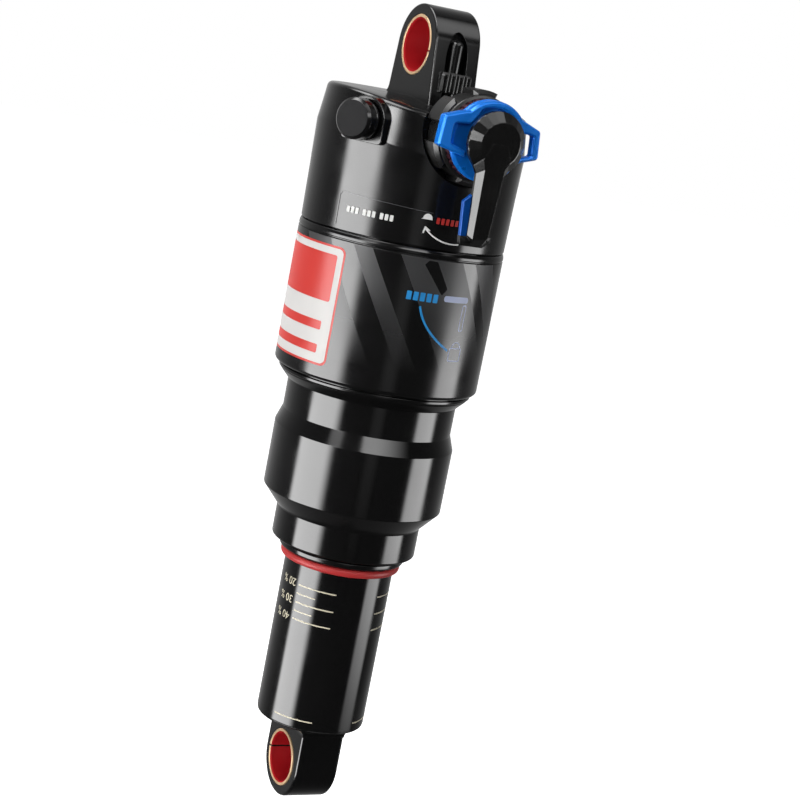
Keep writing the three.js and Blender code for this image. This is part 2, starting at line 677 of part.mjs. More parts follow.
function thresholdLever() {
  const back = 37.5;
  const edge = 1.3;
  const arm = new THREE.ExtrudeGeometry(leverShape(LEVER_HALF_WIDTH, 6.2, LEVER_LENGTH, 2), {
    depth: 2, bevelThickness: edge, bevelSize: edge, bevelOffset: -edge, bevelSegments: 1, curveSegments: 12,
  }).translate(0, 0, LEVER_FRONT - edge - 2);
  let made = solid(arm).intersect(box([-20, 20], [-40, 20], [back, 45]));
  made = made.add(turned([
    [0, LEVER_BACK], [HUB_R - 0.5, LEVER_BACK], [HUB_R, LEVER_BACK + 0.5], [HUB_R, LEVER_BACK + 1.6],
    [HUB_FACE_R, LEVER_FRONT - 0.01], [0, LEVER_FRONT - 0.01],
  ], 20));
  const tip = box([-3, 3], [-LEVER_LENGTH, -LEVER_LENGTH + 1.6], [LEVER_BACK, back + 1]);
  made = made.add(tip);
  const shaft = rod(1.6, -1.4, 37, COARSE);
  const cam = shifted(rod(LEVER_CAM_R, -3, -0.2, COARSE), CAM_THROW, 0, 0);
  made = made.add(shaft).add(cam);
  return onDialAxis(made.subtract(acrossHub(rod(0.95, 2.2, 9, 12))));
}

// Lays a solid made along Z across the lever's hub, where the set screw runs.
function acrossHub(made) {
  return shifted(moved(made, new THREE.Matrix4().makeRotationX(-Math.PI / 2)), 0, 0, LEVER_SCREW_OUT);
}

function leverScrew() {
  return onDialAxis(acrossHub(rod(0.8, 2.5, 6.2, 12).subtract(hexPrism(0.4, 5.4, 7))));
}

function leverBacking() {
  const shape = new THREE.Shape();
  const halfWidth = LEVER_HALF_WIDTH + 0.6;
  shape.moveTo(-halfWidth, -LEVER_LENGTH + 2.4);
  shape.lineTo(halfWidth, -LEVER_LENGTH + 2.4);
  shape.lineTo(halfWidth, -14.4);
  shape.lineTo(halfWidth - 1.6, -12.4);
  shape.lineTo(-halfWidth + 1.6, -12.4);
  shape.lineTo(-halfWidth, -14.4);
  shape.closePath();
  return onDialAxis(prism(shape, LEVER_BACK, LEVER_BACK + 1.2));
}

// ---------------------------------------------------------------- air valve
// These are made along Z, with z as the distance from the shock's axis.
function valveBody() {
  return onValveAxis(turned([
    [1.5, VALVE_STEM_BACK], [3.3, VALVE_STEM_BACK], [3.3, 28.4], [4.2, 28.4], [4.2, 28.9],
    [VALVE_STEM_R, 28.9], [VALVE_STEM_R, VALVE_STEM_FRONT], [1.5, VALVE_STEM_FRONT],
  ], COARSE));
}

function valveCap() {
  return onValveAxis(turned([
    [VALVE_STEM_R + 0.25, VALVE_CAP_BACK], [VALVE_CAP_R + 0.2, VALVE_CAP_BACK],
    [VALVE_CAP_R + 0.2, VALVE_FACE - 0.7], [VALVE_CAP_R - 0.5, VALVE_FACE], [0, VALVE_FACE],
    [0, VALVE_STEM_FRONT + 0.5], [VALVE_STEM_R + 0.25, VALVE_STEM_FRONT + 0.5],
  ], MEDIUM));
}

// ---------------------------------------------------------------- assembly: can side
add('head_body', headBody(), materials.blackAnodised);
add('upper_eye_bushing', bushing(0, UPPER_SLIT_TURN), materials.bronze);
add('air_can', airCan(), materials.blackAnodised);
add('can_lock_ring', lockRing(), materials.satinBlack);
add('inner_air_can', innerAirCan(), materials.blackAnodised);
add('head_oring', sealIn(SPIGOT_GROOVE, CAN_BORE_R), materials.blackRubber);
add('inner_can_oring', sealIn(SLEEVE_GROOVE, SPIGOT_BORE_R), materials.blackRubber);
add('neck_bushing', linerIn(NECK_BUSHING_POCKET, BODY_R), materials.bronze);
add('neck_air_seal', lipIn(NECK_SEAL_POCKET, BODY_R), materials.blackRubber);
add('wiper_seal', wiperSeal(), materials.blackRubber);

add('damper_shaft', damperShaft(), materials.steel);
const shimTop = MAIN_PISTON_TOP + 3 * SHIM_PITCH + 0.1;
const reboundTop = MAIN_PISTON_BOTTOM - 0.3;
add('shim_spacer', ring(STUD_R + 0.15, 5.5, shimTop + 0.2, STUD_TOP - 0.2, COARSE), materials.steel);
[7, 8.5, 10].forEach((r, i) => {
  add(`compression_shim_${i + 1}`, shim(r, shimTop - i * SHIM_PITCH), materials.steel);
});
add('main_piston', mainPiston(), materials.aluminium);
add('piston_band', bandIn(MAIN_PISTON_GROOVE, BODY_BORE_R), materials.bronze);
[9.5, 7].forEach((r, i) => {
  add(`rebound_shim_${i + 1}`, shim(r, reboundTop - i * SHIM_PITCH), materials.steel);
});
const nutTop = reboundTop - 2 * SHIM_PITCH - 0.1;
add('piston_nut', hexNut(10, STUD_R + 0.15, SHAFT_BOTTOM, nutTop), materials.steel);
add('bottom_out_bumper', sealRing(
  SHAFT_R + 0.3, 7.8, SHAFT_BOSS_BOTTOM - 1.45, SHAFT_BOSS_BOTTOM - 0.35, MEDIUM,
), materials.blackRubber);

add('valve_body', valveBody(), materials.satinBlack);
add('valve_core', onValveAxis(ring(0.65, 1.35, 21, VALVE_STEM_FRONT - 0.8, 12)), materials.steel);
add('valve_pin', onValveAxis(rod(0.45, 19.5, VALVE_STEM_FRONT - 0.4, 8)), materials.steel);
add('valve_cap', valveCap(), materials.plastic);

add('adjuster_housing', adjusterHousing(), materials.satinBlack);
add('rebound_detent_ball', detentBall(), materials.steel);
add('rebound_detent_spring', detentSpring(), materials.steel);

// ---------------------------------------------------------------- assembly: adjusters
add('rebound_dial', reboundDial(), materials.redAnodised);
add('compression_dial', compressionDial(), materials.blueAnodised);
add('threshold_lever', thresholdLever(), materials.blackAnodised);
add('lever_backing', leverBacking(), materials.blueAnodised);
add('lever_set_screw', leverScrew(), materials.steel);

const reboundRodTop = DIAL_Z - REBOUND_CAM_R - GAP;
const compressionRodTop = DIAL_Z - LEVER_CAM_R - GAP;
add('rebound_rod', shifted(rod(ROD_R, ROD_BOTTOM, reboundRodTop, 12), 0, -ROD_OFFSET, 0), materials.steel);
add('compression_rod', shifted(rod(ROD_R, ROD_BOTTOM, compressionRodTop, 12), 0, ROD_OFFSET, 0), materials.steel);

// ---------------------------------------------------------------- assembly: shaft side
add('damper_body', turned([
  [BODY_BORE_R, BODY_BOTTOM], [BODY_R, BODY_BOTTOM], [BODY_R, BODY_TOP], [BODY_BORE_R, BODY_TOP],
], FINE), materials.blackAnodised);
add('lower_eye', lowerEye(), materials.blackAnodised);
add('lower_eye_bushing', bushing(-EYE_TO_EYE, LOWER_SLIT_TURN), materials.bronze);
add('gas_fill_screw', gasFillScrew(), materials.steel);
add('air_piston', airPiston(), materials.aluminium);
add('air_piston_seal', sealIn(AIR_PISTON_GROOVE, AIR_BORE_R + 0.05), materials.blackRubber);
add('air_piston_glide_ring', bandIn(GLIDE_GROOVE, AIR_BORE_R), materials.bronze);
add('shaft_bushing', linerIn(SHAFT_BUSHING_POCKET, SHAFT_R - 0.1), materials.bronze);
add('shaft_seal', lipIn(SHAFT_SEAL_POCKET, SHAFT_R - 0.1), materials.blackRubber);
add('top_out_bumper', sealRing(
  SHAFT_R + 0.15, 8, AIR_PISTON_BOTTOM - 1.3, AIR_PISTON_BOTTOM - 0.2, COARSE,
), materials.blackRubber);
add('floating_piston', floatingPiston(), materials.aluminium);
add('floating_piston_oring', sealIn(FLOATING_GROOVE, BODY_BORE_R), materials.blackRubber);
add('sag_ring', sagRing(), materials.redRubber);

export default shock;
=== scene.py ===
import bpy
import bmesh
import math
from mathutils import Matrix, Vector


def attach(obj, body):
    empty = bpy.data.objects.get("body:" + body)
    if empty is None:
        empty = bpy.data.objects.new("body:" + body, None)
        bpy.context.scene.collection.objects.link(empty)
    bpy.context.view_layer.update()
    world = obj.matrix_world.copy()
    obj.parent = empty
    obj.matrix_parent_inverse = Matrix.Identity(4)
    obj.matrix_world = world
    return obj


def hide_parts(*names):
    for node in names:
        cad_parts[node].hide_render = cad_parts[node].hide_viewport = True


MM = 0.001
DEGREE = math.radians(1)
EYE_TO_EYE = 190.0
EYE_BORE_R = 7.6
DIAL_Z = -18.9
VALVE_Z = -19.6
VALVE_TURN = math.radians(-58)
CAN_R = 26.33
CAN_TOP = -49.2
BODY_R = 14.3
HEAD_R = 26.27

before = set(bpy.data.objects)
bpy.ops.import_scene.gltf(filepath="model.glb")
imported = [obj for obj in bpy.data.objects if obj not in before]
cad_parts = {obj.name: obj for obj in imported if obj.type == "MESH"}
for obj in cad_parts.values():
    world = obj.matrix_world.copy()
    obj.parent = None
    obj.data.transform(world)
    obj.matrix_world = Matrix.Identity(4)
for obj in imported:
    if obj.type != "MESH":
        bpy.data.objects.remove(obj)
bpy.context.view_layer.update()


# ------------------------------------------------------------------ outlines
def filleted(outline, steps=5):
    """Outline corners are (u, v) or (u, v, radius); corners with a radius become arcs."""
    made = []
    count = len(outline)
    longest = 0.48  # share of a side that one fillet may use up
    for i, corner in enumerate(outline):
        p = Vector(corner[:2])
        radius = corner[2] if len(corner) > 2 else 0
        if not radius:
            made.append(p)
            continue
        a = Vector(outline[i - 1][:2]) - p
        b = Vector(outline[(i + 1) % count][:2]) - p
        half = a.angle(b) / 2
        reach = min(radius / math.tan(half), longest * a.length, longest * b.length)
        radius = reach * math.tan(half)
        start = p + a.normalized() * reach
        centre = p + (a.normalized() + b.normalized()).normalized() * (radius / math.sin(half))
        first = start - centre
        last = p + b.normalized() * reach - centre
        sweep = math.atan2(first.x * last.y - first.y * last.x, first.dot(last))
        for k in range(steps + 1):
            turn = sweep * k / steps
            c, s = math.cos(turn), math.sin(turn)
            made.append(centre + Vector((first.x * c - first.y * s, first.x * s + first.y * c)))
    return made


def inset(outline, distance):
    """The outline of an anticlockwise shape moved inwards by a distance."""
    count = len(outline)
    made = []
    least = 0.35  # keeps the shift at a pointed corner within three times the distance
    for i, p in enumerate(outline):
        a = (p - outline[i - 1]).normalized()
        b = (outline[(i + 1) % count] - p).normalized()
        na, nb = Vector((-a.y, a.x)), Vector((-b.y, b.x))
        way = na + nb
        if way.length < 1e-6:
            way = na
        way.normalize()
        made.append(p + way * distance / max(least, way.dot(na)))
    return made


def circle(radius, count):
    turns = [2 * math.pi * i / count for i in range(count)]
    return [Vector((radius * math.cos(t), radius * math.sin(t))) for t in turns]


def arc(centre, radius, start, end, count):
    x, y = centre
    turns = [math.radians(start + (end - start) * i / count) for i in range(count + 1)]
    return [Vector((x + radius * math.cos(t), y + radius * math.sin(t))) for t in turns]


def corners_of(points):
    """Points as plain corners for filleted()."""
    return [tuple(p) for p in points]


# ------------------------------------------------------------------ places
def on_dial(u, v, out):
    """u to the side, v up from the adjusters' axis, out towards -Y."""
    return Vector((u, -out, DIAL_Z + v))


def on_valve(u, v, out):
    """u to the side, v up from the valve's axis, out along it."""
    c, s = math.cos(VALVE_TURN), math.sin(VALVE_TURN)
    return Vector((u * c + out * s, u * s - out * c, VALVE_Z + v))


def across(u, v, out):
    """u along +Y, v along +Z, out along +X."""
    return Vector((out, u, v))


def flat_front(u, v, out):
    """u along +X, v along +Z, out towards -Y."""
    return Vector((u, -out, v))


def upwards(u, v, out):
    return Vector((u, v, out))


# ------------------------------------------------------------------ meshes
def smooth(mesh, sharp):
    mesh.shade_smooth()
    mesh.set_sharp_from_angle(angle=math.radians(sharp))


def link(name, mesh):
    piece = bpy.data.objects.new(name, mesh)
    bpy.context.scene.collection.objects.link(piece)
    return piece


def strip(count, k, i):
    """The quad between point i of loop k and the next loop, where each loop has count points."""
    j = (i + 1) % count
    return (k * count + i, k * count + j, (k + 1) * count + j, (k + 1) * count + i)


def mesh_piece(name, points, faces, material, sharp=32):
    mesh = bpy.data.meshes.new(name)
    mesh.from_pydata([Vector(p) for p in points], [], faces)
    made = bmesh.new()
    made.from_mesh(mesh)
    bmesh.ops.remove_doubles(made, verts=made.verts, dist=2e-4)
    bmesh.ops.recalc_face_normals(made, faces=made.faces)
    made.to_mesh(mesh)
    made.free()
    mesh.materials.append(material)
    smooth(mesh, sharp)
    return link(name, mesh)


def loft(name, rings, material, sharp=32):
    """Closed loops of points joined one after another, with both ends capped."""
    points = [p for loop in rings for p in loop]
    count = len(rings[0])
    faces = [strip(count, k, i) for k in range(len(rings) - 1) for i in range(count)]
    faces.append(tuple(range(count)))
    faces.append(tuple(range((len(rings) - 1) * count, len(rings) * count)))
    return mesh_piece(name, points, faces, material, sharp)


def turned(name, outline, material, segments=192, place=upwards):
    """A body of revolution from (r, z, fillet) corners, about Z or about the axis of a place."""
    corners = filleted(outline)
    points = []
    faces = []
    count = len(corners)
    for i in range(segments):
        t = 2 * math.pi * i / segments
        for r, z in corners:
            points.append(place(r * math.cos(t), r * math.sin(t), z))
    for i in range(segments):
        n = (i + 1) % segments
        for k in range(count):
            m = (k + 1) % count
            if corners[k].x < 1e-6 and corners[m].x < 1e-6:
                continue
            faces.append((i * count + k, n * count + k, n * count + m, i * count + m))
    return mesh_piece(name, points, faces, material)


def plate(name, outline, levels, place, material, sharp=32):
    """An outline pushed out through (out, inset) levels."""
    rings = [[place(p.x, p.y, out) for p in inset(outline, gap)] for out, gap in levels]
    return loft(name, rings, material, sharp)


def rounded_levels(back, front, edge, steps=4):
    """Levels for a plate whose two rims are rounded by "edge"."""
    turns = [math.pi / 2 * k / steps for k in range(steps + 1)]
    lower = [(back + edge * (1 - math.sin(t)), edge * (1 - math.cos(t))) for t in reversed(turns)]
    upper = [(front - edge * (1 - math.sin(t)), edge * (1 - math.cos(t))) for t in turns]
    return lower + upper


def combine(piece, other, operation):
    """A boolean that is applied at once; the other piece is used up."""
    step = piece.modifiers.new("combine", "BOOLEAN")
    step.operation = operation
    step.object = other
    step.solver = "EXACT"
    bpy.context.view_layer.update()
    graph = bpy.context.evaluated_depsgraph_get()
    made = bpy.data.meshes.new_from_object(piece.evaluated_get(graph))
    piece.modifiers.remove(step)
    piece.data = made
    bpy.data.objects.remove(other)
    return piece


def gather(piece, *others):
    """Puts closed shells that press into each other into one piece."""
    made = bmesh.new()
    for part in (piece, *others):
        made.from_mesh(part.data)
    made.to_mesh(piece.data)
    made.free()
    for part in others:
        bpy.data.objects.remove(part)
    return piece


def finish_edges(piece, width=0.0, angle=38, sharp=32):
    """Turns the mesh into metres, breaks sharp edges by a width, and keeps large faces flat in shading."""
    piece.data.transform(Matrix.Scale(MM, 4))
    smooth(piece.data, sharp)
    if width:
        edge = piece.modifiers.new("edges", "BEVEL")
        edge.width = width * MM
        edge.segments = 2
        edge.limit_method = "ANGLE"
        edge.angle_limit = math.radians(angle)
        edge.use_clamp_overlap = True
        edge.miter_outer = "MITER_ARC"
    weights = piece.modifiers.new("weights", "WEIGHTED_NORMAL")
    weights.keep_sharp = True
    weights.weight = 80


def settle(piece, body, node):
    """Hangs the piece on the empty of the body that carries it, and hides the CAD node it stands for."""
    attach(piece, body)
    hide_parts(node)


# ------------------------------------------------------------------ materials
def surface(
    name,
    color,
    roughness,
    metallic=0.0,
    speckle=0.06,
    grain=1500.0,
    relief=0.003,
    swing=0.04,
    edge=0.15,
    shine=0.5,
    turned_marks=0.0,
):
    """A finish with uneven colour and roughness, a fine relief and soft edges, both in millimetres."""
    material = bpy.data.materials.new(name)
    material.use_nodes = True
    nodes, links = material.node_tree.nodes, material.node_tree.links
    shader = nodes["Principled BSDF"]
    place = nodes.new("ShaderNodeTexCoord")
    cloud = nodes.new("ShaderNodeTexNoise")
    cloud.inputs["Scale"].default_value = 120.0
    cloud.inputs["Detail"].default_value = 4.0
    links.new(place.outputs["Object"], cloud.inputs["Vector"])
    fine = nodes.new("ShaderNodeTexNoise")
    fine.inputs["Scale"].default_value = grain
    fine.inputs["Detail"].default_value = 3.0
    links.new(place.outputs["Object"], fine.inputs["Vector"])

    tint = nodes.new("ShaderNodeMix")
    tint.data_type = "RGBA"
    tint.inputs["A"].default_value = [c * (1 - speckle) for c in color] + [1]
    tint.inputs["B"].default_value = [min(1, c * (1 + speckle)) for c in color] + [1]
    links.new(cloud.outputs["Fac"], tint.inputs["Factor"])
    links.new(tint.outputs["Result"], shader.inputs["Base Color"])

    uneven = nodes.new("ShaderNodeMapRange")
    uneven.inputs["From Min"].default_value = 0.3
    uneven.inputs["From Max"].default_value = 0.7
    uneven.inputs["To Min"].default_value = max(0.02, roughness - swing)
    uneven.inputs["To Max"].default_value = roughness + swing
    links.new(cloud.outputs["Fac"], uneven.inputs["Value"])
    links.new(uneven.outputs["Result"], shader.inputs["Roughness"])

    height = fine.outputs["Fac"]
    if turned_marks:
        split = nodes.new("ShaderNodeSeparateXYZ")
        links.new(place.outputs["Object"], split.inputs["Vector"])
        rings = nodes.new("ShaderNodeTexNoise")
        rings.noise_dimensions = "1D"
        rings.inputs["Scale"].default_value = 9000.0
        links.new(split.outputs["Z"], rings.inputs["W"])
        blend = nodes.new("ShaderNodeMix")
        blend.inputs["Factor"].default_value = turned_marks
        links.new(fine.outputs["Fac"], blend.inputs["A"])
        links.new(rings.outputs["Fac"], blend.inputs["B"])
        height = blend.outputs["Result"]
    bump = nodes.new("ShaderNodeBump")
    bump.inputs["Strength"].default_value = 0.5
    bump.inputs["Distance"].default_value = relief * MM
    links.new(height, bump.inputs["Height"])
    if edge:
        rounded = nodes.new("ShaderNodeBevel")
        rounded.samples = 4
        rounded.inputs["Radius"].default_value = edge * MM
        links.new(rounded.outputs["Normal"], bump.inputs["Normal"])
    links.new(bump.outputs["Normal"], shader.inputs["Normal"])

    shader.inputs["Metallic"].default_value = metallic
    shader.inputs["Specular IOR Level"].default_value = shine
    return material


def faded(name, top, bottom):
    """A matt print that turns into the can's gloss finish between the two heights."""
    material = surface(name, (0.026, 0.026, 0.027), 0.4, edge=0)
    nodes, links = material.node_tree.nodes, material.node_tree.links
    shader = nodes["Principled BSDF"]
    place = nodes.new("ShaderNodeTexCoord")
    split = nodes.new("ShaderNodeSeparateXYZ")
    links.new(place.outputs["Object"], split.inputs["Vector"])
    for socket, gloss in (("Base Color", 0.0032), ("Roughness", 0.17)):
        ramp = nodes.new("ShaderNodeMapRange")
        ramp.inputs["From Min"].default_value = top
        ramp.inputs["From Max"].default_value = bottom
        ramp.inputs["To Min"].default_value = 0
        ramp.inputs["To Max"].default_value = 1
        links.new(split.outputs["Z"], ramp.inputs["Value"])
        blend = nodes.new("ShaderNodeMix")
        blend.data_type = "RGBA"
        links.new(ramp.outputs["Result"], blend.inputs["Factor"])
        made = shader.inputs[socket].links[0].from_socket
        links.new(made, blend.inputs["A"])
        blend.inputs["B"].default_value = (gloss, gloss, gloss, 1)
        links.new(blend.outputs["Result"], shader.inputs[socket])
    return material


BLACK = (0.0032, 0.0032, 0.0033)
LEVER_BLACK = (0.004, 0.004, 0.004)
DARK_RED = (0.4, 0.008, 0.012)
look = {
    "head": surface("look_head", BLACK, 0.16, edge=0.2),
    "can": surface("look_can", BLACK, 0.17, edge=0),
    "sleeve": surface("look_sleeve", BLACK, 0.12, edge=0, turned_marks=0.5),
    "body": surface("look_body", BLACK, 0.12, edge=0, turned_marks=0.6),
    "satin": surface("look_satin", (0.006, 0.006, 0.006), 0.3, edge=0.15),
    "ring": surface("look_ring", BLACK, 0.16, edge=0, turned_marks=0.8),
    "blue": surface("look_blue", (0.005, 0.2, 0.8), 0.3, metallic=0.3, edge=0.15, relief=0.004),
    # A darker copy of the blue anodised finish, as painted shade on the lever's backing, which faces away
    # from the lamps.
    "blue_painted_shade": surface("look_deep_blue", (0.002, 0.075, 0.36), 0.28, metallic=0.3, edge=0.1, relief=0.004),
    # The rebound dial's dark red anodised colour, made darker still as painted shade in the gap behind the
    # compression dial.
    "red_with_painted_shade": surface("look_deep_red", (0.035, 0.002, 0.009), 0.3, metallic=0.5, edge=0.1),
    "lever": surface("look_lever", LEVER_BLACK, 0.14, swing=0.03, edge=0.08, relief=0.006, grain=3000),
    "cap": surface("look_cap", (0.007, 0.007, 0.0075), 0.7, edge=0.1, relief=0.008, grain=4000, shine=0.2),
    "rim": surface("look_rim", (0.62, 0.42, 0.24), 0.42, metallic=0.35, speckle=0.2, grain=6000, relief=0.02),
    "liner": surface("look_liner", DARK_RED, 0.6, speckle=0.2, grain=7000, relief=0.03, shine=0.12),
    "oring": surface("look_oring", (0.52, 0.035, 0.035), 0.45, edge=0, relief=0.01, grain=5000),
    "rubber": surface("look_rubber", (0.012, 0.012, 0.012), 0.6, edge=0, relief=0.015, grain=5000),
    "steel": surface("look_steel", (0.55, 0.56, 0.58), 0.28, metallic=1, edge=0, turned_marks=0.7),
    "metal": surface("look_metal", (0.7, 0.71, 0.73), 0.33, metallic=1, edge=0, turned_marks=0.7),
    "print_white": surface("look_print_white", (0.78, 0.78, 0.76), 0.4, edge=0, grain=4000),
    "print_cream": surface("look_print_cream", (0.72, 0.66, 0.5), 0.4, edge=0, grain=4000),
    "print_blue": surface("look_print_blue", (0.02, 0.26, 0.62), 0.4, edge=0, grain=4000),
    "print_pale": surface("look_print_pale", (0.42, 0.48, 0.68), 0.4, edge=0, grain=4000),
    "print_red": surface("look_print_red", (0.42, 0.02, 0.015), 0.4, edge=0, grain=4000),
    "print_grey": surface("look_print_grey", (0.05, 0.05, 0.052), 0.2, edge=0),
    "label_red": surface("look_label_red", (0.56, 0.042, 0.034), 0.32, edge=0, grain=3000, shine=0.35),
    "label_white": surface("look_label_white", (0.68, 0.665, 0.65), 0.34, edge=0, grain=3000, shine=0.22),
}


# ------------------------------------------------------------------ head
def eye_outline(radius, front, rear, base, flare_front, flare_rear, root=3.0):
    """An eye in the YZ plane, anticlockwise from +X, with its bore at (0, 0) and a root below "base"."""
    outline = [Vector((-front - flare_front, base - root)), Vector((rear + flare_rear, base - root))]
    if flare_rear:
        outline.append(Vector((rear + flare_rear, base)))
        centre = (rear + flare_rear, base + flare_rear)
        outline += arc(centre, flare_rear, 255, 185, 6)
    lean_rear = math.degrees(math.atan2(rear - radius, -base))
    lean_front = math.degrees(math.atan2(front - radius, -base))
    outline += arc((0, 0), radius, lean_rear, 180 - lean_front, 64)
    if flare_front:
        centre = (-front - flare_front, base + flare_front)
        outline += arc(centre, flare_front, -5, -75, 6)
        outline.append(Vector((-front - flare_front, base)))
    return outline


def droop(piece):
    """The head's top and its shoulder fall away a little towards the adjusters."""
    start, full = -36, -25  # heights where the fall starts and where it is whole
    fall = 0.0048
    for vertex in piece.data.vertices:
        y, z = vertex.co.y, vertex.co.z
        weight = min(1, max(0, (z - start) / (full - start)))
        if y < 0:
            vertex.co.z -= fall * y * y * weight * weight * (3 - 2 * weight)


def eye_bore(height):
    bore = turned("bore", [(0, -20), (EYE_BORE_R, -20), (EYE_BORE_R, 20), (0, 20)], look["head"], 128, across)
    bore.data.transform(Matrix.Translation((0, 0, height)))
    return bore


def head_shell():
    # Its underside is hollow, with room for the air piston at the end of the stroke.
    steps = [
        (0, -43.4),
        (8, -43.4),
        (8, -40),
        (19.8, -40),
        (19.8, -49.8),
        (22.3, -49.8),
        (22.3, -56),
        (24.2, -56),
        (24.2, -46.8),
        (26.1, -46.8, 0.3),
        (26.2, -40),
        (26.28, -34),
        (26.38, -28),
        (26.5, -22.2, 1.2),
        (26.2, -20.0),
        (25.95, -18),
        (25.35, -12.7, 1.3),
        (22, -12.6),
        (0, -12.6),
    ]
    shell = turned("head_shell", steps, look["head"], segments=224)
    droop(shell)
    yoke = plate(
        "yoke",
        eye_outline(10.15, 13, 11, -12.8, 0, 2.2, 5.0),
        rounded_levels(-6.3, 6.3, 0.55),
        across,
        look["head"],
    )
    combine(shell, yoke, "UNION")
    pad = filleted([(-5.9, -5.2, 1.2), (5.9, -5.2, 1.2)] + corners_of(arc((0, 0), 5.8, 8, 172, 40)))
    boss = plate("boss", pad, [(17, 0), (28.0, 0), (28.2, 0.08), (28.3, 0.3)], on_valve, look["head"])
    combine(shell, boss, "UNION")
    recess = turned("recess", [(0, 27.6), (4.9, 27.6), (4.9, 30), (0, 30)], look["satin"], 96, place=on_valve)
    combine(shell, recess, "DIFFERENCE")
    seat = turned("seat", [(0, 22.1), (12.1, 22.1), (12.1, 45), (0, 45)], look["satin"], 96, place=on_dial)
    combine(shell, seat, "DIFFERENCE")
    combine(shell, eye_bore(0), "DIFFERENCE")

    # The pocket in the eye's front is an arch with a rib in it, over a short fluted collar.
    half, spring, rise, parts = 3.0, -2.5, 7.2, 12
    arch = [Vector((-half, -12.4)), Vector((half, -12.4)), Vector((half, spring))]
    for k in range(1, parts + 1):
        turn = math.radians(90 * k / parts)
        arch.append(Vector((half * math.cos(turn), spring + rise * math.sin(turn))))
    arch += [Vector((-p.x, p.y)) for p in reversed(arch[2:-1])]
    pocket = plate("pocket", arch, [(8.1, 0.5), (8.7, 0), (20, 0)], flat_front, look["head"])
    combine(shell, pocket, "DIFFERENCE")
    rib = turned("rib", [(0, -13), (1.7, -13), (1.7, 2.0, 0.8), (0, 3.2)], look["head"], 48)
    rib.data.transform(Matrix.Translation((0, -9.3, 0)))
    combine(shell, rib, "UNION")
    outline = filleted([(-4.2, -10.2), (4.2, -10.2), (4.2, -5.2, 0.7), (-4.2, -5.2, 0.7)], 4)
    collar = plate("collar", outline, [(7.8, 0), (12.35, 0), (12.9, 0.55)], flat_front, look["head"])
    for x in (-2.15, 0, 2.15):
        flute = turned("flute", [(0, -11), (0.75, -11), (0.75, -4), (0, -4)], look["head"], 32)
        flute.data.transform(Matrix.Translation((x, -13.25, 0)))
        combine(collar, flute, "DIFFERENCE")
    combine(shell, collar, "UNION")
    well = plate(
        "well",
        filleted([(-5.4, -21.5), (5.4, -21.5), (5.4, -13.6, 0.8), (-5.4, -13.6, 0.8)], 4),
        [(-16.2, 0), (-9, 0)],
        upwards,
        look["satin"],
    )
    combine(shell, well, "DIFFERENCE")
    finish_edges(shell)
    return shell


settle(head_shell(), "can_side", "head_body")


def bushing(name, z, slit_turn):
    """A split sleeve: a sand-coloured shell with a dark red lining in its bore."""
    half = 6.35
    parts = 120
    gap = math.degrees(0.26 / 7.5)
    turns = [slit_turn + gap + (360 - 2 * gap) * i / parts for i in range(parts + 1)]
    # (radius, x, material): 0 is the shell and 1 the lining.
    section = [
        (7.5, -half + 0.15, 0),
        (7.5, half - 0.15, 0),
        (7.35, half, 0),
        (6.95, half, 0),
        (6.75, half - 0.1, 1),
        (6.38, half - 0.45, 1),
        (6.38, -half + 0.45, 1),
        (6.75, -half + 0.1, 0),
        (6.95, -half, 0),
        (7.35, -half, 0),
    ]
    points = []
    faces = []
    lined = []
    for turn in turns:
        t = math.radians(turn)
        for r, x, _ in section:
            points.append(Vector((x, r * math.cos(t), z + r * math.sin(t))))
    count = len(section)
    for i in range(len(turns) - 1):
        for k in range(count):
            m = (k + 1) % count
            faces.append((i * count + k, i * count + m, (i + 1) * count + m, (i + 1) * count + k))
            lined.append(section[k][2])
    # The slit's two faces take the dark rubber look, as painted shade inside the narrow slit.
    faces.append(tuple(range(count)))
    faces.append(tuple(range((len(turns) - 1) * count, len(turns) * count)))
    lined += [2, 2]
    piece = mesh_piece(name, points, faces, look["rim"], 40)
    piece.data.materials.append(look["liner"])
    # The third slot is the slit's painted shade.
    piece.data.materials.append(look["rubber"])
    for face, index in zip(piece.data.polygons, lined):
        face.material_index = index
    finish_edges(piece)
    return piece


for name, z, slit, body, node in (
    ("bushing_upper", 0.0, 188.0, "can_side", "upper_eye_bushing"),
    ("bushing_lower", -EYE_TO_EYE, 2.5, "shaft_side", "lower_eye_bushing"),
):
    settle(bushing(name, z, slit), body, node)


# ------------------------------------------------------------------ air cans
def lathed(name, outline, material, body, node, segments=224, place=upwards):
    piece = turned(name, outline, material, segments, place)
    finish_edges(piece)
    settle(piece, body, node)
    return piece


lathed(
    "can_shell",
    [
        (24.5, -47.1),
        (26.05, -47.1, 0.35),
        (26.3, -47.9, 0.5),
        (26.33, -48.55, 0.12),
        (26.0, -48.72, 0.08),
        (26.0, -48.92, 0.08),
        (26.33, -49.1, 0.12),
        (26.33, -83.9, 1.1),
        (22.35, -83.9, 0.2),
        (22.35, -81.3),
        (24.5, -81.3),
    ],
    look["can"],
    "can_side",
    "air_can",
)
lathed(
    "lock_ring",
    [
        (22.1, -84.0),
        (24.3, -84.0),
        (24.3, -84.35, 0.1),
        (24.9, -84.45, 0.15),
        (24.9, -85.15, 0.25),
        (24.45, -85.4, 0.1),
        (24.35, -85.75, 0.15),
        (22.45, -87.75, 0.3),
        (22.15, -88.0),
        (22.1, -88.0),
    ],
    look["ring"],
    "can_side",
    "can_lock_ring",
)
lathed(
    "sleeve_and_neck",
    [
        (19.5, -50),
        (21.98, -50),
        (21.98, -95.7, 0.25),
        (23.36, -99.6, 0.3),
        (23.36, -116.2, 0.35),
        (18.9, -121.3, 0.3),
        (18.9, -129.3, 0.5),
        (16.8, -129.3),
        (16.8, -127),
        (14.7, -127),
        (14.7, -124),
        (19.5, -118),
    ],
    look["sleeve"],
    "can_side",
    "inner_air_can",
)
